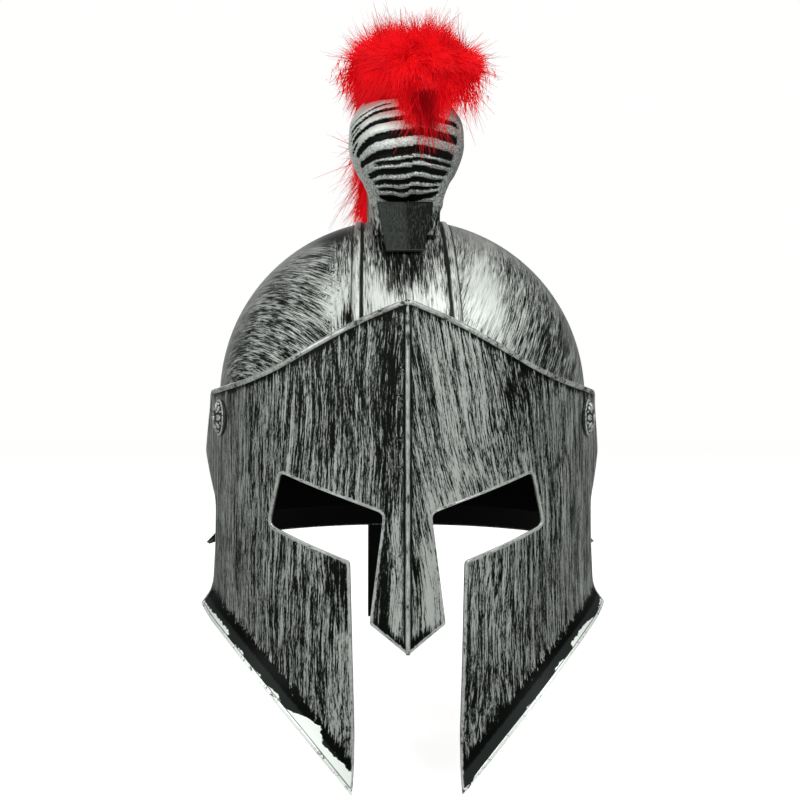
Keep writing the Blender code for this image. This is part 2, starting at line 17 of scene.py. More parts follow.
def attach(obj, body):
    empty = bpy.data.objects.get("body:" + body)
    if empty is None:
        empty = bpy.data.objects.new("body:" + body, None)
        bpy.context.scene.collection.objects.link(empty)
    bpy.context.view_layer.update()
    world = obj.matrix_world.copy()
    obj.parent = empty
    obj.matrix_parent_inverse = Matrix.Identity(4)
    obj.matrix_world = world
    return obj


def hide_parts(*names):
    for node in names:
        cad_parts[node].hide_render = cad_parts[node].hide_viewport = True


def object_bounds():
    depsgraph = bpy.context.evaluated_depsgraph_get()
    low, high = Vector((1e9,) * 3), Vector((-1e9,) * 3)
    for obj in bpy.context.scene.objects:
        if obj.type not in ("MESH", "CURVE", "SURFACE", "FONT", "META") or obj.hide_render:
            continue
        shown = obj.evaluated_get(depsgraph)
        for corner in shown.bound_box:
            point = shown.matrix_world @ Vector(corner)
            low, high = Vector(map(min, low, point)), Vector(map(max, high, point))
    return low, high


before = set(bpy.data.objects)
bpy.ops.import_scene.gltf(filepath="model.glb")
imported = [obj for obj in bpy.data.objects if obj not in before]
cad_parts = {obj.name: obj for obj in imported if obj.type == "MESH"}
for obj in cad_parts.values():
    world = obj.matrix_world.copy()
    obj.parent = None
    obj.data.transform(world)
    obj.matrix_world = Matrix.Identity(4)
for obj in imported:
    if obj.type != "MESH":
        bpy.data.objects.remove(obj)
cad_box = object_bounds()

MM = 0.001
BELT_Z = -0.0992
# The dome's outer face over the belt: half width, depth in front and behind, rise, and how square it is.
DOME_SIDE, DOME_FRONT, DOME_REAR, DOME_RISE = 0.102, 0.110, 0.122, 0.101
PLAN_POWER, RISE_POWER = 2.1, 2.05
# The line that the visor turns on, and the way that the rosettes face.
PIVOT_Y, PIVOT_Z = -0.058, -0.1082
ROSETTE_X, ROSETTE_Y = 0.938, -0.346
# The crest stands a little to one side. The ridges of its front end, the fist, turn about an upright line.
CREST_X, FIST_Y = 0.8 * MM, -0.066
# The dome's two ribs: how far to the side at the belt, and how much closer for each step up.
RIB_LEFT, RIB_RIGHT = (-24.2 * MM, 0.0), (26.4 * MM, 0.045)
FEATHER_SEED = 41
FAR = 40

# Uneven cover of the paint: side, height, half width, half height, and how much heavier or thinner.
VISOR_PATCHES = [
    (-6, 0, 6, 70, -0.15), (-30, 0, 12, 34, -0.045), (-52, 0, 9, 40, 0.01), (25, -6, 12, 42, 0.12),
    (33, -48, 18, 12, 0.06), (56, 0, 12, 24, -0.05), (6, 10, 3, 40, -0.03), (11.5, -82, 5.5, 40, 0.25),
    (4.3, -92, 1.8, 34, -0.06), (-5.8, -84, 2.4, 40, 0.26), (-11.5, -85, 2.4, 32, -0.17),
    (-15.5, -100, 1.6, 16, 0.08), (-30, -138, 4, 28, 0.12), (-31.5, -84, 4.5, 15, -0.18),
    (42, -95, 10, 30, 0.03), (30, -120, 6, 30, -0.04), (-70, 20, 12, 14, -0.03), (0, 34, 60, 9, 0.02),
]
# On the dome, the first patch is heavier paint on the right front that is partly a painted highlight under
# the key light; the patch at height 71 in the middle makes the dome darker under the clip.
DOME_PATCHES = [
    (39, 53, 12, 24, 0.22), (56, 40, 12, 16, 0.05), (0, 46, 24, 8, 0.22), (-15, 58, 6, 13, 0.15),
    (15, 56, 6, 13, 0.11), (-1, 71, 12, 13, -0.17), (-19.5, 78, 3.5, 14, 0.08), (-33, 50, 9, 13, 0.14),
    (-30, 60, 5, 14, 0.04), (-36, 88, 11, 7, -0.14), (-28.1, 41, 1.9, 4.5, -0.34), (-37, 44, 5, 8, 0.10),
    (-60, 45, 16, 14, -0.01), (72, 28, 9, 20, -0.08),
]
# Where the dome's strokes run together into a smooth coat, partly real paint and partly painted reflection of
# the gloss; the first zone lies under the painted highlight on the right front.
DOME_SMOOTH = [(39, 52, 11, 22, 0.55), (34, 84, 12, 9, 0.4), (-14, 52, 6, 9, 0.4), (-37, 89, 9, 6, 0.5)]
# How wide the white paint is along the turned-out lip, at each height.
LIP_PAINT_LEFT = [
    (-181, 5.5), (-176, 5.6), (-171, 6.2), (-166, 5.2), (-160.5, 4.2), (-156, 6.4), (-152, 8.4), (-148, 6.4),
    (-145, 2.0), (-143.8, 0.5), (-142, 1.2), (-140, 2.6), (-136.5, 2.7), (-134.3, 0.5), (-132, 0.6),
    (-131, 2.3), (-129.3, 1.9), (-128.5, 0.5), (-127.5, 1.6), (-126, 1.5), (-125, 0.5), (-123.5, 2.0),
    (-120, 2.3), (-118.6, 0.5), (-117, 0.7), (-115.5, 3.3), (-110, 3.5), (-107, 2.2),
]
LIP_PAINT_RIGHT = [
    (-181, 0.0), (-177, 0.4), (-165, 0.6), (-147, 0.6), (-145, 1.8), (-142.8, 1.6), (-141, 0.5),
    (-131, 0.6), (-129.5, 2.2), (-126, 2.4), (-124.5, 0.7), (-121.5, 0.7), (-119.5, 3.5), (-112.5, 3.7),
    (-110.5, 0.8), (-107, 2.6),
]
# Small round marks left by the mould under the brow.
MOULD_MARKS = [(-35.5, 20.0), (-5.0, 36.5), (41.5, 20.0)]


# ---------------------------------------------------------------- handling meshes

def pick(*objects):
    bpy.ops.object.select_all(action="DESELECT")
    for obj in objects:
        obj.select_set(True)
    bpy.context.view_layer.objects.active = objects[0]


def edit(obj, select="DESELECT", mode="FACE"):
    pick(obj)
    bpy.ops.object.mode_set(mode="EDIT")
    bpy.ops.mesh.select_mode(type=mode)
    bpy.ops.mesh.select_all(action=select)


def leave():
    bpy.ops.object.mode_set(mode="OBJECT")


def choose(obj, parts, test):
    """Select faces, edges or verts of the mesh being edited, by their place or direction."""
    bm = bmesh.from_edit_mesh(obj.data)
    for part in getattr(bm, parts):
        part.select_set(bool(test(part)))
    bmesh.update_edit_mesh(obj.data)


def subdivide_faces(obj, test):
    edit(obj)
    choose(obj, "faces", test)
    bpy.ops.mesh.subdivide(number_cuts=1, smoothness=0.0)
    leave()


def subsurf(obj, levels=2):
    pick(obj)
    modifier = obj.modifiers.new("subsurf", "SUBSURF")
    modifier.levels = modifier.render_levels = levels
    bpy.ops.object.modifier_apply(modifier=modifier.name)


def smooth_by_angle(obj, angle):
    pick(obj)
    bpy.ops.object.shade_smooth_by_angle(angle=math.radians(angle))


def join(obj, *others):
    pick(obj, *others)
    bpy.ops.object.join()
    return obj


def settle(obj):
    """Move the object's place, turn and size into its mesh."""
    pick(obj)
    bpy.ops.object.transform_apply(location=True, rotation=True, scale=True)
    return obj


def new_object(name, data):
    obj = bpy.data.objects.new(name, data)
    bpy.context.scene.collection.objects.link(obj)
    return obj


def merged_copy(node, name, crease_angle=34):
    """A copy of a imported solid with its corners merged, its triangles paired and its edges creased."""
    obj = new_object(name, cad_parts[node].data.copy())
    obj.data.materials.clear()
    pick(obj)
    bpy.ops.mesh.customdata_custom_splitnormals_clear()
    edit(obj, "SELECT", "EDGE")
    bpy.ops.mesh.remove_doubles(threshold=0.00001)
    bpy.ops.mesh.mark_sharp(clear=True)
    bpy.ops.mesh.tris_convert_to_quads(face_threshold=math.radians(20), shape_threshold=math.radians(60))
    bpy.ops.mesh.select_all(action="DESELECT")
    bpy.ops.mesh.edges_select_sharp(sharpness=math.radians(crease_angle))
    bpy.ops.transform.edge_crease(value=1.0)
    leave()
    return obj


def detach_edges(obj, name, test):
    """Copy the edges that pass the test into a wire object of their own."""
    edit(obj, mode="EDGE")
    choose(obj, "edges", test)
    bpy.ops.mesh.duplicate()
    bpy.ops.mesh.separate(type="SELECTED")
    leave()
    wire = next(o for o in bpy.context.selected_objects if o != obj)
    wire.name = name
    return wire


def wire_segments(wire):
    points = np.array([v.co for v in wire.data.vertices])
    return np.array([[points[i] for i in edge.vertices] for edge in wire.data.edges])


def tube_along(wire, radius_at):
    """Turn a wire into a smooth tube whose radius in millimetres depends on its place."""
    pick(wire)
    bpy.ops.object.convert(target="CURVE")
    curve = wire.data
    curve.dimensions = "3D"
    bpy.ops.object.mode_set(mode="EDIT")
    bpy.ops.curve.select_all(action="SELECT")
    bpy.ops.curve.spline_type_set(type="NURBS")
    leave()
    for spline in curve.splines:
        spline.order_u = 4
        spline.use_endpoint_u = not spline.use_cyclic_u
        spline.resolution_u = 3
        for point in spline.points:
            point.radius = radius_at(point.co)
    curve.bevel_depth = MM
    curve.bevel_resolution = 2
    curve.use_fill_caps = True
    bpy.ops.object.convert(target="MESH")


def places_of(obj):
    places = np.zeros(len(obj.data.vertices) * 3)
    obj.data.vertices.foreach_get("co", places)
    return places.reshape(-1, 3)


def put_vertices(obj, places):
    obj.data.vertices.foreach_set("co", places.ravel())
    obj.data.update()


def normals_of(obj):
    return np.array([n.vector for n in obj.data.vertex_normals])


def store(obj, **fields):
    """Keep numbers for each vertex under the names that the material reads."""
    for name, values in fields.items():
        layer = obj.data.attributes.new(name, "FLOAT", "POINT")
        layer.data.foreach_set("value", np.asarray(values, np.float32))


def level(z):
    """Height over the belt in millimetres."""
    return (z - BELT_Z) / MM


def unit(vectors):
    return vectors / np.maximum(np.linalg.norm(vectors, axis=1), 1e-9)[:, None]


def facing(normals, outward):
    """1 where a surface faces outward and -1 where it faces inward."""
    return np.einsum("ij,ij->i", normals, unit(outward))


def distances(points, segments):
    """Distance from each point to the nearest of the segments."""
    starts, steps = segments[:, 0], segments[:, 1] - segments[:, 0]
    lengths = np.maximum(np.einsum("ij,ij->i", steps, steps), 1e-12)
    found = np.empty(len(points))
    for k in range(0, len(points), 4000):
        gap = points[k:k + 4000, None, :] - starts[None]
        along = np.clip(np.einsum("ijk,jk->ij", gap, steps) / lengths, 0, 1)
        off = gap - along[..., None] * steps[None]
        found[k:k + 4000] = np.sqrt(np.einsum("ijk,ijk->ij", off, off).min(axis=1))
    return found


def gap_to(segments, points):
    """Distance in millimetres, up to the most that the materials need."""
    return np.minimum(distances(points, segments) / MM, FAR)


def ease(value, low, high):
    share = np.clip((value - low) / (high - low), 0, 1)
    return share * share * (3 - 2 * share)


def patch_cover(points, patches):
    """Sum at each point of soft oval patches."""
    across, up = points[:, 0] / MM, level(points[:, 2])
    return sum(strength * np.exp(-(((across - side) / width) ** 2 + ((up - height) / tall) ** 2))
               for side, height, width, tall, strength in patches)


# ---------------------------------------------------------------- materials

class Value:
    """What a material works out at each spot, so that formulas can be written with it."""

    def __init__(self, finish, socket):
        self.finish, self.socket = finish, socket

    def __add__(self, other):
        return self.math("ADD", other)

    def __sub__(self, other):
        return self.math("SUBTRACT", other)

    def __rsub__(self, other):
        return self * -1.0 + other

    def __mul__(self, other):
        return self.math("MULTIPLY", other)

    def math(self, operation, *others, **settings):
        return self.finish.add("ShaderNodeMath", enumerate((self, *others)), operation=operation, **settings)

    def vector(self, operation, other, output=0):
        return self.finish.add("ShaderNodeVectorMath", {0: self, 1: other}, output, operation=operation)

    def part(self, axis):
        return self.finish.add("ShaderNodeSeparateXYZ", {0: self}, axis)

    def near(self, middle, reach):
        """1 within reach of the middle, and 0 elsewhere."""
        return self.math("COMPARE", middle, reach)

    def step(self, low, high, bottom=0.0, top=1.0):
        """Eased change from bottom at low to top at high."""
        return self.finish.add("ShaderNodeMapRange", {
            "Value": self, "From Min": low, "From Max": high, "To Min": bottom, "To Max": top,
        }, interpolation_type="SMOOTHSTEP")

    def ramp(self, stops):
        """Colour ramp through (place, grey) or (place, colour) stops."""
        colour = self.finish.add("ShaderNodeValToRGB", {"Fac": self})
        elements = colour.socket.node.color_ramp.elements
        while len(elements) < len(stops):
            elements.new(0.5)
        for element, (place, shade) in zip(elements, stops):
            element.position = place
            element.color = silver(shade) if isinstance(shade, float) else shade
        return colour

    def under(self, cover, colour):
        """This colour with another over it, as far as cover says."""
        return self.finish.mix(cover, self, colour)

    def bump(self, distance, strength):
        return self.finish.add("ShaderNodeBump", {"Height": self, "Distance": distance, "Strength": strength})


class Finish:
    """One material and the nodes that make it."""

    def __init__(self, name):
        self.material = bpy.data.materials.new(name)
        self.material.use_nodes = True
        self.tree = self.material.node_tree
        self.place = self.add("ShaderNodeTexCoord", output="Object")

    def add(self, kind, inputs=(), output=0, **settings):
        """Add a node, feed it and hand on one of its outputs."""
        node = self.tree.nodes.new(kind)
        for name, value in settings.items():
            setattr(node, name, value)
        for key, value in dict(inputs).items():
            self.feed(node, key, value)
        return Value(self, node.outputs[output])

    def feed(self, node, key, value):
        if isinstance(value, Value):
            self.tree.links.new(value.socket, node.inputs[key])
        else:
            node.inputs[key].default_value = value

    def set(self, **values):
        """Give the shader's own sockets their values."""
        for name, value in values.items():
            self.feed(self.tree.nodes["Principled BSDF"], name.replace("_", " "), value)

    def stored(self, name):
        """Numbers kept on the mesh."""
        return self.add("ShaderNodeAttribute", output="Fac", attribute_name=name)

    def uv(self, name):
        return self.add("ShaderNodeUVMap", uv_map=name)

    def noise(self, size, shift=(0, 0, 0), turn=(0, 0, 0), detail=3.0, roughness=0.55, along=None):
        """Noise whose grains are about size millimetres along each axis."""
        mapped = self.add("ShaderNodeMapping", {
            "Vector": along or self.place, "Location": shift, "Rotation": turn,
            "Scale": [1 / (grain * MM) for grain in size]})
        return self.add("ShaderNodeTexNoise", {
            "Vector": mapped, "Scale": 1.0, "Detail": detail, "Roughness": roughness}, "Fac")

    def mix(self, share, first, second, kind="RGBA"):
        """The first where share is 0, and the second where it is 1."""
        a, b, output = {"RGBA": (6, 7, 2), "VECTOR": (4, 5, 1)}[kind]
        return self.add("ShaderNodeMix", {0: share, a: first, b: second}, output, data_type=kind)


def silver(shade):
    """The paint's grey with its faint green cast, stronger where it is dark."""
    cast = 0.035 + 0.20 * math.exp(-40 * shade)
    return (shade * (1 - cast), shade * (1 + 0.85 * cast), shade * (1 - 0.9 * cast), 1.0)


BLACK = 0.003
# From bare plastic to heavy paint.
THIN_TONES = [(0.34, 0.0015), (0.43, 0.007), (0.475, 0.040), (0.515, 0.115), (0.555, 0.23)]
STROKE_TONES = THIN_TONES + [(0.62, 0.37), (0.80, 0.46)]
DOME_TONES = THIN_TONES + [(0.62, 0.42), (0.78, 0.72)]
RIDGE_TONES = [(0.0, BLACK), (0.18, 0.02), (0.36, 0.15), (0.54, 0.40), (0.80, 0.80)]
LIP_BLOOM = (0.019, 0.023, 0.022, 1)
RED, DEEP_RED = (0.70, 0.004, 0.007, 1.0), (0.13, 0.0, 0.002, 1)
ROOT_RED, TIP_RED = (0.38, 0.0, 0.004, 1.0), (0.70, 0.014, 0.022, 1.0)
# Layers of a dry-brushed finish: size of the grains in millimetres, how much they count, and their detail.
VISOR_LAYERS = [((0.37, 0.37, 4.5), 0.80, 2.0), ((0.80, 0.80, 26), 0.84, 1.5),
                ((2.8, 2.8, 80), 0.42, 1.0), ((0.55, 0.55, 1.3), 0.36, 2.0)]
DOME_LAYERS = [((0.45, 9.0, 1), 1.0, 2.0), ((0.95, 20, 1), 0.70, 1.5),
               ((4.5, 26, 1), 0.34, 1.0), ((0.6, 1.6, 1), 0.22, 2.0)]
HOLDER_LAYERS = [((0.5, 0.5, 3), 0.8, 2.0), ((1.1, 1.1, 8), 0.8, 1.5), ((5, 5, 14), 0.6, 1.0)]


def stroke_tone(paint, along, layers):
    """Uneven dry-brush strokes, long in one direction: about 0.35 where bare and 0.65 where heavy."""
    tone = 0.5 - 0.5 * sum(weight for _, weight, _ in layers)
    noises = []
    for number, (size, weight, detail) in enumerate(layers):
        shift = (3.1 * number, 1.7 * number, 5.3 * number)
        noises.append(paint.noise(size, shift, detail=detail, roughness=0.6, along=along))
        tone = noises[-1] * weight + tone
    return tone, noises[0]


def visor_paint():
    paint = Finish("visor_brushed_silver")
    sway = paint.noise((34, 34, 55), (2.2, 0.7, 6.6), detail=1.0)
    lean = sway * 0.008 + (paint.stored("lean") * MM - 0.004)
    swayed = paint.place.vector("ADD", paint.add("ShaderNodeCombineXYZ", {0: lean}))
    tone, grain = stroke_tone(paint, swayed, VISOR_LAYERS)
    tone = (tone - 0.50) * paint.stored("calm") + 0.490 + paint.stored("cover")
    # strokes start unevenly under the brow and above the lip; the bare black band under the brow bead is also
    # painted shadow cast by the bead
    start = paint.noise((1.1, 1.1, 60), (1.3, 8.8, 2.2), detail=2.0)
    above_lip = paint.stored("above_lip")
    bare = (paint.stored("below_brow") - (start * 12.0 - 2.9)).step(-1.8, 2.2, 0.30, 0.0)
    bare = bare + (above_lip - (start * 10.0 + 4.4)).step(-1.5, 2.2, 0.40, 0.0)
    tone = tone - bare
    colour = tone.ramp(STROKE_TONES)
    cover = tone.step(0.45, 0.60)
    # round mould marks with a speckled ring
    for side, height in MOULD_MARKS:
        spot = (side * MM, 0, height * MM + BELT_Z)
        gap = paint.place.vector("MULTIPLY", (1, 0, 1)).vector("DISTANCE", spot, "Value")
        colour = colour.under((grain * 0.0012 + gap).near(0.0021, 0.00045) * 0.8, silver(0.02))
    # bare plastic either side of the keel
    keel = (grain * 1.6 + paint.stored("from_keel")).step(3.6, 2.7, 0.0, 0.93)
    colour = colour.under(keel, silver(BLACK))
    # silver rubbed on to the very edge of the openings, while the thickness of the wall stays dark
    fleck = paint.noise((1.2, 1.2, 2.0))
    rubbed = (fleck * -1.8 + paint.stored("from_edge")).step(0.7, 0.0)
    colour = colour.under(rubbed, silver(0.42)).under(paint.stored("wall") * 0.9, silver(0.05))
    # the lip: dark plastic with a grey bloom, then white-silver paint with a running edge
    bloom = (fleck * 2.0 + above_lip).step(7.6, 6.2, 0.0, 0.85)
    drips = paint.noise((2.4, 2.4, 2.4), (0.6, 4.4, 9.1), detail=1.0, roughness=0.5)
    on_lip = (above_lip - (paint.stored("lip_paint") + (drips * 2.4 - 1.2))).step(0.25, -0.15)
    colour = colour.under(bloom, LIP_BLOOM).under(on_lip, silver(0.95))
    colour = colour.under(above_lip.near(1.55, 0.28) * 0.8, silver(0.02))
    inner = paint.stored("inner")
    outer = 1.0 - inner
    bright = cover.math("MAXIMUM", on_lip) * outer
    paint.set(Base_Color=colour.under(inner, silver(BLACK)), Metallic=bright * 0.35,
              Roughness=bright * 0.12 + (inner * 0.3 + (grain * 0.12 + 0.36)), Specular_IOR_Level=0.06,
              Normal=((on_lip * 1.5 + cover) * outer).bump(0.00012, 0.6))
    return paint.material


def edge_paint(name, light, dark=0.05, specks=(1.6, 1.6, 1.6)):
    """Raised beads and edges, rubbed with silver and worn through in places, with a painted highlight on the
    top of the visor's rims and a thin painted dark line below it.
    """
    paint = Finish(name)
    fleck = paint.noise(specks, roughness=0.65)
    tone = paint.noise((8, 8, 8), (4.0, 1.0, 2.5), detail=2.0) * 0.9 + (fleck * 1.1 - 0.48)
    colour = tone.ramp([(0.33, dark), (0.39, light * 0.7), (0.50, light), (0.68, light * 1.45)])
    # painted highlight: a white top where the bead faces up, as if lit from above, with a thin painted dark
    # line below it
    upper = fleck * 0.5 + paint.stored("upper")
    colour = colour.under(upper.near(0.78, 0.08) * 0.55, silver(0.03))
    colour = colour.under(upper.step(0.92, 1.02, 0.0, 0.85), silver(0.85))
    colour = colour.under(paint.stored("white") * tone.step(0.30, 0.38, 0.1, 0.9), silver(0.92))
    paint.set(Base_Color=colour, Metallic=0.35, Roughness=tone.step(0.3, 0.7, 0.5, 0.36),
              Specular_IOR_Level=0.25, Normal=fleck.bump(0.0002, 0.5))
    return paint.material


def dome_paint():
    paint = Finish("dome_brushed_silver")
    ragged = paint.noise((1.6, 1.6, 9.0), (4.0, 2.0, 8.0), roughness=0.65)
    swathes = paint.noise((8, 8, 24), (1.0, 6.0, 3.0), detail=1.0)
    middle = swathes * 8.0 + (ragged * 30.0 + paint.stored("middle_panel"))
    middle = middle.math("GREATER_THAN", 19.0)
    strokes = paint.mix(middle, paint.uv("side_strokes"), paint.uv("middle_strokes"), "VECTOR")
    tone, grain = stroke_tone(paint, strokes, DOME_LAYERS)
    # over the ears the front strokes cross those that fall down the back, and neither loses contrast
    falling_tone, _ = stroke_tone(paint, paint.uv("rear_strokes"), DOME_LAYERS)
    turn = (swathes * 60.0 + paint.stored("rear_panel")).step(16.0, 56.0, 0.0, math.pi / 2) * (1.0 - middle)
    tone = (tone - 0.5) * turn.math("COSINE") + 0.5
    tone = (falling_tone - 0.5) * turn.math("SINE") + tone
    tone = (tone - 0.50) * paint.stored("calm") + 0.520 + paint.stored("cover")
    colour = tone.ramp(DOME_TONES)
    # bare plastic in the grooves beside the ribs
    beside = grain * 0.9 + paint.stored("rib_side")
    for near, far, depth in ((2.1, 3.7, 0.97), (-2.7, -1.9, 0.85)):
        groove = beside.step(near, near + 0.35) * beside.step(far + 0.5, far)
        colour = colour.under(groove * depth, silver(BLACK))
    inner = paint.stored("inner")
    bright = tone.step(0.45, 0.62) * (1.0 - inner)
    paint.set(Base_Color=colour.under(inner, silver(BLACK)), Metallic=bright * 0.4,
              Roughness=bright * 0.10 + (inner * 0.4 + (grain * 0.12 + 0.36)), Specular_IOR_Level=0.08,
              Normal=bright.bump(0.00012, 0.6))
    return paint.material


def holder_paint():
    paint = Finish("holder_brushed_silver")
    tone, _ = stroke_tone(paint, paint.place, HOLDER_LAYERS)
    ragged = paint.noise((1.1, 1.1, 0.8), (2.0, 6.0, 3.0), roughness=0.65)
    raised = (ragged * 1.3 + paint.stored("ridge")).step(1.00, 1.32)
    flecks = paint.noise((0.9, 0.9, 0.9), (9.0, 2.0, 1.0), roughness=0.7)
    # the fist's ridges take silver in flecks; the stored cover also brings a painted highlight on the fist's
    # upper left
    worn = flecks.math("MULTIPLY_ADD", 1.5, paint.stored("cover") - 0.20, use_clamp=True)
    fist, inner = paint.stored("fist"), paint.stored("inner")
    colour = tone.ramp(STROKE_TONES).under(fist, (raised * worn).ramp(RIDGE_TONES))
    cover = tone.step(0.45, 0.60)
    bright = ((raised - cover) * fist + cover) * (1.0 - inner)
    paint.set(Base_Color=colour.under(inner, silver(BLACK)), Metallic=bright * 0.35,
              Roughness=bright * 0.12 + 0.36, Specular_IOR_Level=0.08,
              Normal=(cover + flecks).bump(0.00015, 0.6))
    return paint.material


def smoke_plastic():
    """The clip: smoky plastic, paler on its left, with slanting scuffs and a rubbed lower edge."""
    smoke = Finish("smoke_grey_plastic")
    cloud = smoke.noise((5, 5, 26), roughness=0.6)
    right = (cloud * 0.010 + smoke.place.part("X")).step(0.0035, 0.0075)
    upright = smoke.noise((0.35, 0.35, 9), (5.0, 3.0, 1.0), roughness=0.65)
    slanted = smoke.noise((0.5, 0.5, 10), (5.0, 3.0, 1.0), turn=(0, 0.45, 0), roughness=0.6)
    pale = smoke.mix(upright.step(0.34, 0.62), silver(0.010), silver(0.046))
    dark = smoke.mix(slanted.step(0.52, 0.64), silver(0.002), silver(0.040))
    edge = (upright * 0.0008 + smoke.place.part("Z")).step(-0.0236, -0.0242, 0.0, 0.6)
    smoke.set(Base_Color=pale.under(right, dark).under(edge, silver(0.14)),
              Roughness=upright.step(0.3, 0.7, 0.50, 0.64), Specular_IOR_Level=0.10,
              Normal=upright.bump(0.00008, 0.5))
    return smoke.material


def feather_red():
    """Red-dyed barbs, darker at the roots and in darker tufts, with painted shade low in the ball's middle
    and a painted glow that stands in for the light the down passes on.
    """
    dye = Finish("feather_red")
    cloud = dye.noise((12, 12, 12), detail=2.0)
    # deep red where tufts are darker at random, and, through the stored shade, painted shade low in the
    # ball's middle
    deep = (dye.stored("shade") * 0.55 + cloud).step(0.80, 1.40, 0.0, 0.85)
    colour = dye.stored("along").ramp([(0.0, ROOT_RED), (0.5, RED), (1.0, TIP_RED)]).under(deep, DEEP_RED)
    # painted glow: the emission stands in for light scattered through the down
    dye.set(Base_Color=colour, Roughness=0.8, Specular_IOR_Level=0.05, Emission_Color=colour,
            Emission_Strength=0.42)
    return dye.material


# ---------------------------------------------------------------- visor

# Radius of the rolled edges in millimetres.
RIM_RADIUS = {"brow": 1.55, "ear": 0.75, "lip": 1.05, "face": 0.64}


def rim_test(obj):
    """Picks the outer edge of a moulded wall: edges beside the narrow strip of its thickness."""
    bm = bmesh.new()
    bm.from_mesh(obj.data)
    picked = set()
    for edge in bm.edges:
        if len(edge.link_faces) != 2 or edge.calc_face_angle() < math.radians(42):
            continue
        start, end = (v.co for v in edge.verts)
        middle = (start + end) / 2
        line = (end - start).normalized()
        for face in edge.link_faces:
            far = [v.co for v in face.verts if v not in edge.verts]
            across = sum(far, Vector()) / len(far)
            narrow = max(((p - middle).cross(line)).length for p in far) < 2.7 * MM
            if narrow and middle.xy.length > across.xy.length + 0.3 * MM and not near_pin(middle):
                picked.add(edge.index)
    bm.free()
    return lambda edge: edge.index in picked


def near_pin(point):
    return math.hypot(point.y - PIVOT_Y, point.z - PIVOT_Z) < 6 * MM


def on_keel(edge):
    """Edges on the visor's middle crease, in front."""
    start, end = edge.verts
    return (max(abs(start.co.x), abs(end.co.x)) < 0.01 * MM and edge.calc_face_angle(0) < 1.2
            and max(start.normal.y, end.normal.y) < -0.3 and abs(start.co.z - end.co.z) > 1 * MM)


def visor_edge_kind(place):
    """Which of the visor's edges a point of its rim belongs to."""
    height, side = level(place[2]), abs(place[0]) / MM
    if height > 3.5:
        return "brow"
    if height < -106.5 and side > 29.5 or height < -180:
        return "lip"
    if side > 88:
        return "ear"
    return "face"


def rim_radius(place):
    """The rolled edge's radius, with a small knob at each end of the brow."""
    corner = math.hypot(abs(place[0]) / MM - 108.5, level(place[2]) - 4.8)
    return RIM_RADIUS[visor_edge_kind(place)] + 0.9 * math.exp(-(corner / 3.5) ** 2)


def keel_radius(place):
    """The keel's radius: uneven, and lost under the rolled edge at the top."""
    height = level(place[2])
    uneven = 1.0 + 0.13 * math.sin(0.21 * height) + 0.09 * math.sin(0.67 * height + 1.0)
    return uneven * (0.25 + 0.75 * float(ease(45.0 - height, 0, 5)))


def sink_wire(wire, obj, depth_at):
    """Move a wire from a wall's outer corner in towards the middle of the wall."""
    normals = {tuple(np.round(v.co, 6)): v.normal.copy() for v in obj.data.vertices}
    for vertex in wire.data.vertices:
        vertex.co -= normals[tuple(np.round(vertex.co, 6))] * depth_at(vertex.co)


def make_visor():
    visor = merged_copy("visor", "visor_shell")
    rim = detach_edges(visor, "visor_rim", rim_test(visor))
    keel = detach_edges(visor, "visor_keel", on_keel)
    edges, keel_edges = wire_segments(rim), wire_segments(keel)
    kinds = np.array([visor_edge_kind(middle) for middle in edges.mean(axis=1)])
    sink_wire(rim, visor, lambda place: min(1.1, 1.15 * RIM_RADIUS[visor_edge_kind(place)]) * MM)
    sink_wire(keel, visor, lambda place: 0.3 * MM)
    tube_along(rim, rim_radius)
    tube_along(keel, keel_radius)
    subsurf(visor)
    centres = np.array([polygon.center for polygon in visor.data.polygons])
    fine = distances(centres, edges[kinds == "brow"]) < 9 * MM
    subdivide_faces(visor, lambda face: fine[face.index])
    visor.data.materials.append(visor_paint())
    rim.data.materials.append(edge_paint("visor_worn_edge_painted_highlight", light=0.38))
    keel.data.materials.append(edge_paint("visor_worn_keel", light=0.36, dark=0.02, specks=(1.0, 1.0, 3.0)))
    rim_kinds = np.array([visor_edge_kind(place) for place in places_of(rim)])
    # upper: how far each rim point faces up, which edge_paint turns into a painted highlight with a painted
    # dark line below it, strongest round the eye openings
    store(rim, white=rim_kinds == "lip",
          upper=np.maximum(normals_of(rim)[:, 2], 0) * np.where(rim_kinds == "face", 1.5, 1.0))
    join(visor, rim, keel)
    store_visor_wear(visor, edges, kinds, keel_edges)
    smooth_by_angle(visor, 45)
    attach(visor, "face_visor")
    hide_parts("visor")


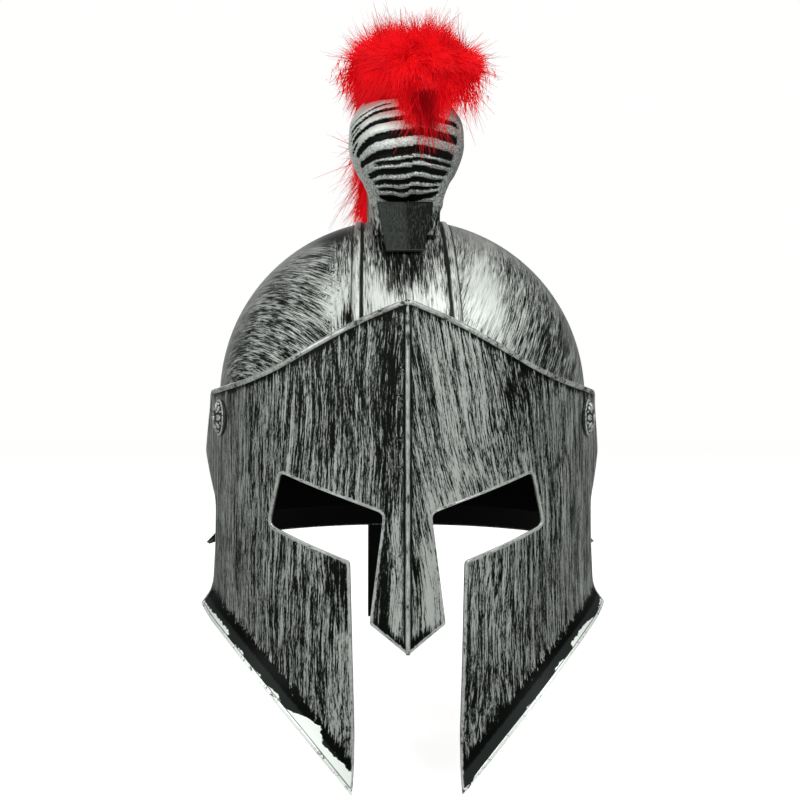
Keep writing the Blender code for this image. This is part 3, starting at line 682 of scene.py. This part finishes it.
def store_visor_wear(visor, edges, kinds, keel_edges):
    """Where the visor's paint is heavy, calm, worn or missing, and which way its strokes lean."""
    places = places_of(visor)
    side, height = places[:, 0] / MM, level(places[:, 2])
    outward = facing(normals_of(visor), places * (1, 1, 0))
    from_edge = gap_to(edges[(kinds == "face") | (kinds == "ear")], places)
    temple = ease(np.abs(side), 62, 96)
    low = ease(-height, 96, 108) * ease(np.abs(side), 88, 100)
    tip = ease(-height, 100, 106) * ease(np.abs(side), 26, 20) * ease(from_edge, 4.8, 2.4)
    # right of the keel the strokes lean, and follow the nose below the eyes
    eyes = -52
    lean = 0.19 * (np.maximum(height, eyes) - 46) + 0.11 * np.minimum(height - eyes, 0) * (side < 22)
    store(visor,
          inner=ease(-outward, 0.15, 0.4),
          wall=ease(np.abs(outward), 0.60, 0.30),
          below_brow=gap_to(edges[kinds == "brow"], places),
          above_lip=gap_to(edges[kinds == "lip"], places),
          from_edge=from_edge,
          from_keel=gap_to(keel_edges, places),
          calm=1 - 0.15 * temple,
          cover=patch_cover(places, VISOR_PATCHES) * (1 - temple) + 0.045 * temple - 0.15 * low - 0.3 * tip,
          lean=lean * ease(side, 95, 45) * (side > -0.3),
          lip_paint=np.where(side < 0, np.interp(height, *zip(*LIP_PAINT_LEFT)),
                             np.interp(height, *zip(*LIP_PAINT_RIGHT))))


# ---------------------------------------------------------------- dome

# Axes that the brush circled: on the left panel, the middle band and the right panel.
LEFT_AXIS, MIDDLE_AXIS, RIGHT_AXIS = (0.74, 0.50, 0.44), (1.0, 0.0, 0.05), (0.80, 0.24, -0.50)


def circling(places, axis):
    """U across and V along the circles round an axis, counted from above."""
    axis = Vector(axis).normalized()
    above = (Vector((0, 0, 1)) - axis * axis.z).normalized()
    radius = np.linalg.norm(places, axis=1)
    lean = np.arcsin(np.clip(places @ np.array(axis) / radius, -1, 1))
    turn = np.arctan2(places @ np.array(axis.cross(above)), places @ np.array(above))
    return np.stack([radius * lean, radius * turn], axis=1)


def falling(places):
    """U across and V along the lines that run down from the crown."""
    x, y, z = places.T
    around = np.arctan2(x, -y)
    tilt = np.arctan2(np.hypot(x, y), np.maximum(z, 0))
    return np.stack([0.105 * around, 0.11 * tilt - np.minimum(z, 0)], axis=1)


def map_strokes(dome):
    """UV maps that follow the brush on the panels, the middle band and the rear, and where each one holds."""
    places = places_of(dome) - (0, 0, BELT_Z)
    x, y, z = places.T
    corners = np.zeros(len(dome.data.loops), int)
    dome.data.loops.foreach_get("vertex_index", corners)
    sides = np.where(places[:, :1] < 0, circling(places, LEFT_AXIS), circling(places, RIGHT_AXIS))
    for name, uv in (("side", sides), ("middle", circling(places, MIDDLE_AXIS)), ("rear", falling(places))):
        layer = dome.data.uv_layers.new(name=name + "_strokes")
        layer.data.foreach_set("uv", uv[corners].ravel().astype(np.float32))
    strip = rib_line(RIB_LEFT, z) - 2 * MM - 9.5 * MM * ease(-y, 0.0, 0.02)
    inside = np.minimum(x - strip, 12 * (rib_line(RIB_RIGHT, z) + 2 * MM - x))
    store(dome, middle_panel=np.clip(inside / MM, -60, 60), rear_panel=np.clip(y / MM - 12, -60, 60))


def dome_depth(place):
    return DOME_FRONT if place.y < 0 else DOME_REAR


def dome_outward(place):
    """Direction of the dome's outer face at a place on it."""
    return Vector((place.x / DOME_SIDE ** 2, place.y / dome_depth(place) ** 2,
                   max(place.z - BELT_Z, 0) / DOME_RISE ** 2)).normalized()


def on_outer_dome(place):
    """Tells the dome's outer face from its inner one at the ribs."""
    side, depth = place.x / DOME_SIDE, place.y / dome_depth(place)
    if place.z < BELT_Z:
        return math.hypot(side, depth) > 0.992
    plan = (abs(side) ** PLAN_POWER + abs(depth) ** PLAN_POWER) ** (RISE_POWER / PLAN_POWER)
    return plan + ((place.z - BELT_Z) / DOME_RISE) ** RISE_POWER > 0.985


def rib_line(rib, heights):
    """How far to the side a rib is at each height over the belt."""
    side, slope = rib
    return side - slope * heights


def make_rib(dome, line):
    """A raised rib over the dome: a flattened roll along the cut of a plane with its outer face."""
    rib = new_object("dome_rib", dome.data.copy())
    edit(rib, "SELECT")
    side, slope = line
    bpy.ops.mesh.bisect(plane_co=(side, 0, BELT_Z), plane_no=(1, 0, slope),
                        clear_inner=True, clear_outer=True)
    bpy.ops.mesh.select_mode(type="VERT")
    choose(rib, "verts", lambda v: not on_outer_dome(v.co) or v.co.z < BELT_Z - 80 * MM
           or (v.co.y < 0 and v.co.z < BELT_Z + 20 * MM))
    bpy.ops.mesh.delete(type="VERT")
    leave()
    segments = wire_segments(rib)
    spine = [vertex.co.copy() for vertex in rib.data.vertices]
    tube_along(rib, lambda place: 1.9)
    for vertex in rib.data.vertices:
        near = min(spine, key=lambda place: (place - vertex.co).length_squared)
        out = dome_outward(near)
        height = (vertex.co - near).dot(out)
        vertex.co += out * (max(0.55 * height, -1.0 * MM) - height)
    rib.data.update()
    return rib, segments


def make_dome():
    dome = merged_copy("skull_dome", "dome_shell")
    ribs, lines = zip(*[make_rib(dome, line) for line in (RIB_LEFT, RIB_RIGHT)])
    subsurf(dome)
    join(dome, *ribs)
    dome.data.materials.append(dome_paint())
    map_strokes(dome)
    places = places_of(dome)
    x, y, z = places.T
    rise = z - BELT_Z
    out = np.stack([x, y, np.maximum(rise, 0)], axis=1)
    near_rib = gap_to(np.concatenate(lines), places)
    between = (x > rib_line(RIB_LEFT, rise)) & (x < rib_line(RIB_RIGHT, rise))
    front, rear = ease(-y, 0.015, 0.045), ease(y, 0.0, 0.11)
    crown = ease(-y, 0.068, 0.036) * (1 - rear)
    # the even grey over the crown and rear, which the front sees near the dome's outline, is partly painted
    # reflection of the gloss
    smooth = 0.78 * crown + 0.42 * rear + patch_cover(places, DOME_SMOOTH) * front
    store(dome,
          inner=ease(-facing(normals_of(dome), out), 0.1, 0.4),
          rib_side=np.where(between, near_rib, -near_rib),
          calm=1 - np.minimum(smooth, 0.8),
          cover=patch_cover(places, DOME_PATCHES) * front + 0.035 * crown + 0.015 * rear
          + 0.07 * ease(near_rib, 2.4, 1.8))
    smooth_by_angle(dome, 45)
    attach(dome, "dome")
    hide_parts("skull_dome")


# ---------------------------------------------------------------- crest

# Grooves across the fist: height at the front, half width, and the turns where they end (degrees).
GROOVES = [
    (146.6, 0.3, (-85, -25)), (143.0, 0.7, (-75, 20)), (140.4, 0.3, (-84, -58)), (137.3, 1.0, (-72, 62)),
    (134.0, 0.4, (-80, -62)), (129.6, 1.9, (-68, 60)), (121.2, 2.0, (-66, 58)), (116.8, 0.6, (-38, 62)),
    (112.8, 1.2, (-58, 58)), (108.4, 0.8, (-54, 58)), (105.0, 0.4, (-54, 58)), (101.0, 1.3, (-64, 64)),
]


def on_fist(face):
    middle = face.calc_center_median()
    return level(middle.z) > 97 and middle.y < -0.055 and face.normal.y < 0.6


def fist_ridges(places):
    """Height of the ridges on the fist, from 0 in a groove to 1 on a ridge, and how far the fist reaches."""
    x, y, z = places.T
    height = level(z)
    turn = np.degrees(np.arctan2(x - CREST_X, -(y - FIST_Y)))
    wave = 0.25 * np.sin(np.radians(turn * 1.7 + 20)) + 0.3 * np.sin(np.radians(turn * 7.1))
    wave += 0.5 * (turn > 5)
    upper, lower = ease(height, 113, 124), ease(height, 113, 104)
    arch = (np.where(turn < 0, 0.8 + 5.0 * upper, 0.5 + 1.4 * upper) - 2.3 * lower) * (turn / 60) ** 2
    ridge = np.ones(len(places))
    for groove, half_width, (left, right) in GROOVES:
        ends = ease(turn, left - 7, left + 3) * ease(turn, right + 7, right - 3)
        gap = np.abs(height - groove - wave + arch)
        ridge -= ends * (1 - ease(gap, half_width * 0.6, half_width + 0.8))
    fist = ease(height, 97, 99.5) * ease(-y, 0.05, 0.062)
    return np.clip(ridge, 0, 1), fist


def make_holder():
    holder = merged_copy("crest_holder", "holder_shell")
    subsurf(holder)
    subdivide_faces(holder, on_fist)
    places = places_of(holder)
    normals = normals_of(holder)
    ridge, fist = fist_ridges(places)
    places += normals * (ridge * fist * 1.3 * MM)[:, None]
    put_vertices(holder, places)
    # the channel between the side walls, the back of the fist and the front of the tail
    x, y, z = places.T
    inner = ease(-normals[:, 0] * np.sign(x - CREST_X), 0.3, 0.6)
    inner = np.maximum(inner, ease(normals[:, 1], 0.3, 0.6) * (y < -0.06))
    inner = np.maximum(inner, ease(-normals[:, 1], 0.2, 0.5) * (y > 0.09))
    # lighter paint on the ridges of the fist's upper left: painted highlight; darker towards the right and at
    # the top, under the ball
    bright = 0.42 * ease(level(z), 116, 138) * ease(-x, -0.014, 0.010)
    dull = 0.10 * ease(x, 0.010, 0.026) + 0.16 * ease(level(z), 143, 149)
    store(holder, inner=inner, ridge=ridge, fist=fist * (1 - inner), cover=0.04 + bright - dull)
    holder.data.materials.append(holder_paint())
    smooth_by_angle(holder, 40)
    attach(holder, "dome")
    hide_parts("crest_holder")


# ---------------------------------------------------------------- rosettes

def ball(place, size):
    bpy.ops.object.select_all(action="DESELECT")
    bpy.ops.mesh.primitive_uv_sphere_add(segments=14, ring_count=8, radius=MM)
    bead = bpy.context.active_object
    bead.location = [distance * MM for distance in place]
    bead.scale = size
    return settle(bead)


def rosette_rise(radius):
    """Height of the rosette's dark ground at a radius, in millimetres: the disc's dome, pressed flatter."""
    full = np.interp(radius, (0, 1.5, 4.3, 6.85, 8.55, 9.5), (5.0, 5.0, 4.1, 2.66, 1.4, 0.7))
    return 0.7 + 0.72 * (float(full) - 0.7)


def make_petal(reach):
    """A petal with a crease along it, lying outward from the middle of the flower."""
    petal = ball((reach, 0, 0), (1, 1, 1))
    edit(petal, "SELECT", "VERT")
    centre = Vector((reach * MM, 0, 0))
    for vertex in bmesh.from_edit_mesh(petal.data).verts:
        along, across, up = (vertex.co - centre) / MM
        width = 1.75 * (1 - 0.45 * max(-along, 0))
        fold = -0.55 * math.exp(-(across / 0.22) ** 2) * (up > 0)
        vertex.co = centre + Vector((2.9 * along, width * across, 1.25 * up + fold - 0.25 * along)) * MM
    leave()
    return petal


def make_flower():
    """Eight creased petals round a button, with beads between their tips and a rolled rim."""
    petal_reach, bead_reach = 5.0, 7.3
    petal = make_petal(petal_reach)
    flower = ball((0, 0, rosette_rise(0) - 0.3), (2.3, 2.3, 1.5))
    parts = []
    for number in range(8):
        copy = new_object("petal", petal.data.copy())
        copy.matrix_world = (Matrix.Rotation(math.radians(45 * number), 4, "Z")
                             @ Matrix.Translation((0, 0, (rosette_rise(petal_reach) - 0.25) * MM)))
        turn = math.radians(45 * number + 22.5)
        bead = (bead_reach * math.cos(turn), bead_reach * math.sin(turn), rosette_rise(bead_reach))
        parts += [settle(copy), ball(bead, (0.85, 0.85, 0.8))]
    bpy.data.objects.remove(petal)
    bpy.ops.object.select_all(action="DESELECT")
    bpy.ops.mesh.primitive_torus_add(major_segments=40, minor_segments=8, major_radius=8.7 * MM,
                                     minor_radius=0.72 * MM, location=(0, 0, 1.0 * MM))
    parts.append(settle(bpy.context.active_object))
    return join(flower, *parts)


def make_rosettes():
    """The small flowers over the hinge: a dark domed disc under silvered relief."""
    flower = make_flower()
    dark = edge_paint("rosette_dark", light=0.05, dark=BLACK)
    bright = edge_paint("rosette_silver", light=0.46, dark=0.02, specks=(0.9, 0.9, 0.9))
    for side, node in ((-1, "rosette_left"), (1, "rosette_right")):
        disc = merged_copy(node, node + "_flower")
        outward = Vector((side * ROSETTE_X, ROSETTE_Y, 0))
        seat = min(v.co.dot(outward) for v in disc.data.vertices
                   if math.hypot((v.co.y - PIVOT_Y) / ROSETTE_X, v.co.z - PIVOT_Z) > 8.9 * MM)
        origin = Vector((side * 0.097, PIVOT_Y, PIVOT_Z))
        origin += outward * (seat - origin.dot(outward))
        # the disc's dome is pressed flatter under its petals
        places = places_of(disc)
        rise = places @ np.array(outward) - seat
        press = 0.28 * np.maximum(rise - 0.7 * MM, 0)
        put_vertices(disc, places - press[:, None] * np.array(outward))
        relief = new_object("relief", flower.data.copy())
        turn = outward.to_track_quat("Z", "Y").to_matrix().to_4x4()
        relief.matrix_world = Matrix.Translation(origin) @ turn
        settle(relief)
        disc.data.materials.append(dark)
        relief.data.materials.append(bright)
        subsurf(disc, 1)
        join(disc, relief)
        smooth_by_angle(disc, 50)
        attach(disc, "face_visor")
        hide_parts(node)
    bpy.data.objects.remove(flower)


# ---------------------------------------------------------------- feathers

# How barbs grow: number of tufts, how their leans spread and sweep, how deep the roots are and how much of
# that depth is filled, how far they stand over the surface, share of long wisps, how closely they gather
# into tufts, and share of them that grows on the sides.
Tufting = namedtuple("Tufting", "tufts spread sweep depth fill over wisps gather sides")
BALL = Tufting(170, 0.45, (0.0, -0.05, 0.05), (8, 15), (0.45, 1.0), 1.5, 0.045, 0.35, 1.0)
BOA = Tufting(300, 0.40, (0, 0.30, -1.05), (5, 10), (0.55, 1.0), 2.0, 0.070, 0.60, 0.60)
# Loose barbs that hang from the ball: middle and spread across, front and back, lowest and highest root,
# usual and greatest length, share of the barbs, and how much painted shade they take near the ball's shaded
# spot.
Lock = namedtuple("Lock", "middle spread front back low high length longest share dark")
LOCKS = [
    Lock(9.0, 5.8, -104, -92, 143, 157, 6.5, 30, 0.46, 1.25),
    Lock(28.5, 6.0, -96, -66, 152, 166, 6.0, 26, 0.06, 0.0),
    Lock(-26.0, 4.0, -92, -66, 157, 167, 3.0, 12, 0.04, 0.0),
]
# Where the painted shade on the ball is darkest: above the lock that hangs from it.
BALL_SHADE_SPOT = np.array([9.0, -102.0, 141.0 + BELT_Z / MM]) * MM
BARBS, LOCK_BARBS, QUICK_SHARE = 28000, 8000, 0.12
# How far in front the boa's outline is judged from, in millimetres.
FRONT_VIEW = 650


def surface_samples(obj, count, rng):
    """Random places on a mesh, spread by area, with the direction of the surface there."""
    mesh = obj.data
    mesh.calc_loop_triangles()
    corners = np.array([t.vertices for t in mesh.loop_triangles])
    places = places_of(obj)
    a, b, c = places[corners[:, 0]], places[corners[:, 1]], places[corners[:, 2]]
    cross = np.cross(b - a, c - a)
    area = np.linalg.norm(cross, axis=1)
    chosen = rng.choice(len(area), count, p=area / area.sum())
    u, v = rng.random((2, count))
    flip = u + v > 1
    u[flip], v[flip] = 1 - u[flip], 1 - v[flip]
    spots = a[chosen] + (b - a)[chosen] * u[:, None] + (c - a)[chosen] * v[:, None]
    return spots, cross[chosen] / area[chosen][:, None]


def nearest(points, centres):
    """Number of the nearest centre to each point."""
    found = np.empty(len(points), int)
    for k in range(0, len(points), 3000):
        gap = points[k:k + 3000, None, :] - centres[None]
        found[k:k + 3000] = np.einsum("ijk,ijk->ij", gap, gap).argmin(axis=1)
    return found


def barb_mesh(name, roots, reaches, bends, widths, shades, rng, stations=4):
    """Thin tapered ribbons from each root, along its reach and off along its bend, in one mesh."""
    count = len(roots)
    steps = np.linspace(0, 1, stations)
    along = steps[:, None]
    spine = roots[:, None] + reaches[:, None] * along + bends[:, None] * along ** 2
    side = unit(np.cross(reaches, rng.normal(size=(count, 3))))
    taper = widths[:, None] * (1 - 0.8 * steps) / 2
    half = side[:, None] * taper[..., None]
    verts = np.stack([spine - half, spine + half], axis=2).reshape(-1, 3)
    first = (np.arange(count) * stations * 2)[:, None] + np.arange(stations - 1) * 2
    faces = np.stack([first, first + 1, first + 3, first + 2], axis=2).reshape(-1, 4)
    mesh = bpy.data.meshes.new(name)
    mesh.vertices.add(len(verts))
    mesh.vertices.foreach_set("co", verts.ravel().astype(np.float32))
    mesh.loops.add(faces.size)
    mesh.loops.foreach_set("vertex_index", faces.ravel().astype(np.int32))
    mesh.polygons.add(len(faces))
    mesh.polygons.foreach_set("loop_start", np.arange(0, faces.size, 4, dtype=np.int32))
    mesh.update(calc_edges=True)
    mesh.shade_smooth()
    obj = new_object(name, mesh)
    store(obj, along=np.tile(np.repeat(steps, 2), count), shade=np.repeat(shades, stations * 2))
    return obj


def ruffle(places):
    """The ball is packed tighter at its top and bottom than the form that holds all its barbs."""
    ruffled = places.copy()
    x, y, z = places.T
    forward, beside = ease(-y, 0.010, 0.045), x - CREST_X
    above = np.maximum(z - BELT_Z - 150 * MM, 0) * forward
    below = np.maximum(BELT_Z + 158 * MM - z, 0) * forward * ease(np.abs(beside), 0.012, 0.024)
    lifted = np.minimum(0.3 * below, 3.5 * MM) * np.where(beside < 0, 1.6, 1.0)
    ruffled[:, 2] += lifted - 0.08 * above
    ruffled[:, 0] -= np.where(beside < 0, 0.06, 0.02) * forward * beside
    return ruffled


def hard_surfaces():
    """The walls that feathers stop at: the crest's holder and the dome."""
    corners, faces = [], []
    for node in ("crest_holder", "skull_dome"):
        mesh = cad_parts[node].data
        start = len(corners)
        corners += [vertex.co for vertex in mesh.vertices]
        faces += [[start + number for number in polygon.vertices] for polygon in mesh.polygons]
    return BVHTree.FromPolygons(corners, faces)


def stop_at_walls(roots, reaches, bends, walls):
    """Shorten the barbs that would run into a wall, and tell how much of each is left."""
    share = np.ones(len(roots))
    ways = reaches + bends
    for number, (root, way, length) in enumerate(zip(roots, ways, np.linalg.norm(ways, axis=1))):
        gap = walls.ray_cast(root, way, length)[3]
        if gap is not None:
            share[number] = max(gap / length - 0.06, 0)
    reaches *= share[:, None]
    bends *= (share ** 2)[:, None]
    return share


def barb_density(spots, style):
    """Share of the barbs that grow at each place: fewer on the boa's sides."""
    beside = ease(np.abs(spots[:, 0] - CREST_X), 0.012, 0.020)
    return 1 - (1 - style.sides) * beside


def barb_room(spots):
    """How freely barbs stand out at each place: hardly at all beside the crest's right and under the ball."""
    x, y, z = spots.T
    height, side, behind = level(z), (x - CREST_X) / MM, (y + 80 * MM) / MM
    over_dome = ease(height - 92 - 0.155 * y / MM, -4, 4)
    right = ease(side, 6, 14) * ease(height, 150, 138) * over_dome
    low, high = 133 + 0.237 * behind, 153 + 0.26 * behind
    neck = ease(-side, 6, 14) * ease(height - low, 0, 5) * ease(height - high, 3, -2)
    neck *= ease(y, 0.10, 0.06)
    # fullest half way down the boa's left, and thin at its foot
    slope = height / (FRONT_VIEW + y / MM)
    left = ease(-side, 16, 24) * ease(behind, 95, 125) * over_dome
    left *= 1.9 * ease(slope, 0.180, 0.208) * ease(slope, 0.240, 0.228) + 0.1
    cheeks = ease(np.abs(side), 19, 29) * ease(-y, 0.035, 0.060)
    return (1 - 0.9 * np.maximum(right, neck) + left) * (1 - 0.35 * cheeks)


def tufted_barbs(name, spots, normals, style, walls, rng):
    """Barbs rooted under the plume's surface, gathered in tufts that lean and bend together."""
    room = barb_room(spots)
    kept = rng.random(len(spots)) < barb_density(spots, style)
    spots, normals, room = spots[kept], normals[kept], room[kept]
    count = len(spots)
    tufts = spots[rng.choice(count, style.tufts, replace=False)]
    leans = rng.normal(scale=style.spread, size=tufts.shape) + style.sweep
    shades = rng.random(len(tufts))
    own = nearest(spots, tufts)
    depth = rng.uniform(*style.depth, count) * MM
    away = unit(normals + leans[own] + rng.normal(scale=0.22, size=(count, 3)))
    over = rng.exponential(style.over, count) * rng.uniform(0.4, 1.9, len(tufts))[own]
    over = np.minimum(over, 10) * room * MM
    wisps = rng.random(count) < style.wisps * room * (1 + 1.2 * np.maximum(normals[:, 2], 0))
    over[wisps] += rng.uniform(3, 12, wisps.sum()) * MM
    roots = spots - normals * depth[:, None]
    filled = depth * rng.uniform(*style.fill, count) * np.minimum(0.5 + 0.5 * room, 1)
    tips = roots + away * (filled + over)[:, None]
    pull = style.gather * rng.uniform(0.3, 1.0, count) * np.minimum(room, 1)
    tips += (tufts[own] + leans[own] * style.over * 2 * MM - spots) * pull[:, None]
    bends = rng.normal(scale=1.3 * MM, size=(count, 3)) + leans[own] * 2.5 * MM
    bends[:, 2] -= rng.uniform(0, 2.5, count) * MM
    reaches = tips - roots
    long = stop_at_walls(roots, reaches, bends, walls) > 0.4
    widths = rng.uniform(0.34, 0.66, count) * MM
    widths[wisps] *= 0.8
    shade = np.clip(0.7 * shades[own] + 0.3 * rng.random(count), 0, 1) + 0.6 * wisps
    # painted shade: barbs rooted near the ball's shaded spot are darker
    shade += 0.9 * np.exp(-(np.linalg.norm(spots - BALL_SHADE_SPOT, axis=1) / (8 * MM)) ** 2)
    return barb_mesh(name, roots[long], reaches[long], bends[long], widths[long], shade[long], rng)


def hanging_locks(name, count, walls, rng):
    """Barbs that hang from the ball in locks, laid out in millimetres first."""
    parts = []
    for lock in LOCKS:
        own = int(count * lock.share)
        depths = rng.normal((lock.front + lock.back) / 2, 0.3 * (lock.back - lock.front), own)
        roots = np.stack([rng.normal(lock.middle, lock.spread, own), depths,
                          rng.uniform(lock.low, lock.high, own) + BELT_Z / MM], axis=1)
        length = np.minimum(4 + rng.exponential(lock.length, own), lock.longest)
        length *= np.exp(-((roots[:, 0] - lock.middle) / (2.6 * lock.spread)) ** 2)
        lean = 0.010 * (lock.middle - 9)
        drape = rng.normal(0.03, 0.13, own) + 0.30 * (lock.back - roots[:, 1]) / (lock.back - lock.front)
        ways = unit(np.stack([rng.normal(lean, 0.30, own), drape, -np.ones(own)], axis=1))
        reaches = ways * length[:, None] * MM
        roots *= MM
        bends = rng.normal(scale=1.6, size=(own, 3)) * MM
        stop_at_walls(roots, reaches, bends, walls)
        # painted shade: lock barbs that hang near the ball's shaded spot are darker, as far as the lock's
        # dark says
        off_spot = (roots + reaches / 2 - BALL_SHADE_SPOT)[:, [0, 2]] / (7 * MM, 8 * MM)
        shades = rng.uniform(0.3, 0.8, own) + lock.dark * np.exp(-(off_spot ** 2).sum(axis=1))
        parts.append((roots, reaches, bends, rng.uniform(0.32, 0.60, own) * MM, shades))
    return barb_mesh(name, *(np.concatenate(column) for column in zip(*parts)), rng)


def make_core():
    """The boa's cord and inner down, which the barbs stand out from."""
    core = merged_copy("plume", "plume_core")
    edit(core, "SELECT")
    bpy.ops.transform.shrink_fatten(value=-6.0 * MM)
    leave()
    places = ruffle(places_of(core))
    slim = 1 - 0.18 * ease(places[:, 1], -0.045, -0.005)
    places[:, 0] = CREST_X + (places[:, 0] - CREST_X) * slim
    put_vertices(core, places)
    subsurf(core)
    count = len(core.data.vertices)
    store(core, along=np.full(count, 0.1), shade=np.full(count, 0.6))
    core.data.shade_smooth()
    return core


def make_plume():
    rng = np.random.default_rng(FEATHER_SEED)
    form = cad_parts["plume"]
    red = feather_red()
    core = make_core()
    pieces = [core]
    walls = hard_surfaces()
    share = 1.0
    full = int(BARBS * share)
    for number in (1, 2):
        spots, normals = surface_samples(form, full * 8, rng)
        # none grow from the underside of the ball, except in its middle
        grown = (normals[:, 2] > -0.75) | (np.abs(spots[:, 0] - CREST_X) < 0.019)
        grown &= spots[:, 1] < -0.035
        pieces.append(tufted_barbs(f"plume_ball_{number}", ruffle(spots[grown][:full]), normals[grown][:full],
                                   BALL, walls, rng))
    for number in (1, 2, 3):
        spots, normals = surface_samples(form, full * 3, rng)
        grown = spots[:, 1] > -0.045
        pieces.append(tufted_barbs(f"plume_boa_{number}", spots[grown][:full], normals[grown][:full],
                                   BOA, walls, rng))
    pieces.append(hanging_locks("plume_lock", int(LOCK_BARBS * share), walls, rng))
    for piece in pieces:
        piece.data.materials.append(red)
        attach(piece, "dome")
    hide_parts("plume")


# ---------------------------------------------------------------- stage

WHITE = (1, 1, 0.995, 1)
# Name, place, aim, size and watts.
SOFTBOXES = [
    ("key_softbox", (0.55, -1.00, 0.75), (0.02, -0.05, -0.05), 0.6, 15.0),
    ("fill_softbox", (-1.00, -0.85, 0.30), (0, -0.05, -0.08), 0.6, 7.0),
    ("top_softbox", (0.0, -0.1, 1.50), (0, 0, 0), 1.2, 7.0),
    ("rear_softbox", (-0.30, 1.60, 0.20), (0, 0, -0.05), 1.4, 6.0),
]
CAMERA_PLACE, CAMERA_TURN, CAMERA_LENS = (-13.6 * MM, -649.9 * MM, BELT_Z), -1.1, 51.6


def make_floor():
    bpy.ops.mesh.primitive_plane_add(size=9.0, location=(0, 0, cad_box[0].z))
    floor = settle(bpy.context.active_object)
    floor.name = "studio_floor"
    pale = Finish("pale_floor")
    seen = pale.add("ShaderNodeLightPath", output="Is Camera Ray")
    cloud = pale.noise((60, 60, 60))
    pale.set(Base_Color=pale.mix(cloud, (0.44, 0.44, 0.435, 1), (0.48, 0.48, 0.475, 1)), Roughness=0.9,
             Emission_Color=WHITE, Emission_Strength=seen * 0.90)
    floor.data.materials.append(pale.material)


def make_backdrop():
    """White behind the helmet, with only a little of it falling on the helmet as light."""
    world = bpy.data.worlds.new("white_studio")
    bpy.context.scene.world = world
    world.use_nodes = True
    tree = world.node_tree
    backdrop = tree.nodes["Background"]
    backdrop.inputs["Color"].default_value = WHITE
    room = tree.nodes.new("ShaderNodeBackground")
    room.inputs["Color"].default_value = (1, 1, 1, 1)
    room.inputs["Strength"].default_value = 0.16
    share = tree.nodes.new("ShaderNodeMixShader")
    path = tree.nodes.new("ShaderNodeLightPath")
    tree.links.new(path.outputs["Is Camera Ray"], share.inputs[0])
    tree.links.new(room.outputs[0], share.inputs[1])
    tree.links.new(backdrop.outputs[0], share.inputs[2])
    tree.links.new(share.outputs[0], tree.nodes["World Output"].inputs["Surface"])


def make_lights():
    for name, place, aim, size, power in SOFTBOXES:
        light = bpy.data.lights.new(name, "AREA")
        light.energy, light.size = power, size
        lamp = new_object(name, light)
        lamp.location = place
        lamp.rotation_euler = (Vector(aim) - Vector(place)).to_track_quat("-Z", "Y").to_euler()


def make_camera():
    camera = new_object("camera", bpy.data.cameras.new("camera"))
    camera.data.sensor_width = 36.0
    camera.data.lens = CAMERA_LENS
    camera.location = CAMERA_PLACE
    camera.rotation_euler = (math.radians(90), 0, math.radians(CAMERA_TURN))
    bpy.context.scene.camera = camera


bpy.context.scene.view_settings.view_transform = "Standard"
make_camera()
make_floor()
make_backdrop()
make_lights()
make_visor()
make_dome()
make_holder()
make_rosettes()
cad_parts["crest_clip"].data.materials.clear()
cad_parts["crest_clip"].data.materials.append(smoke_plastic())
make_plume()
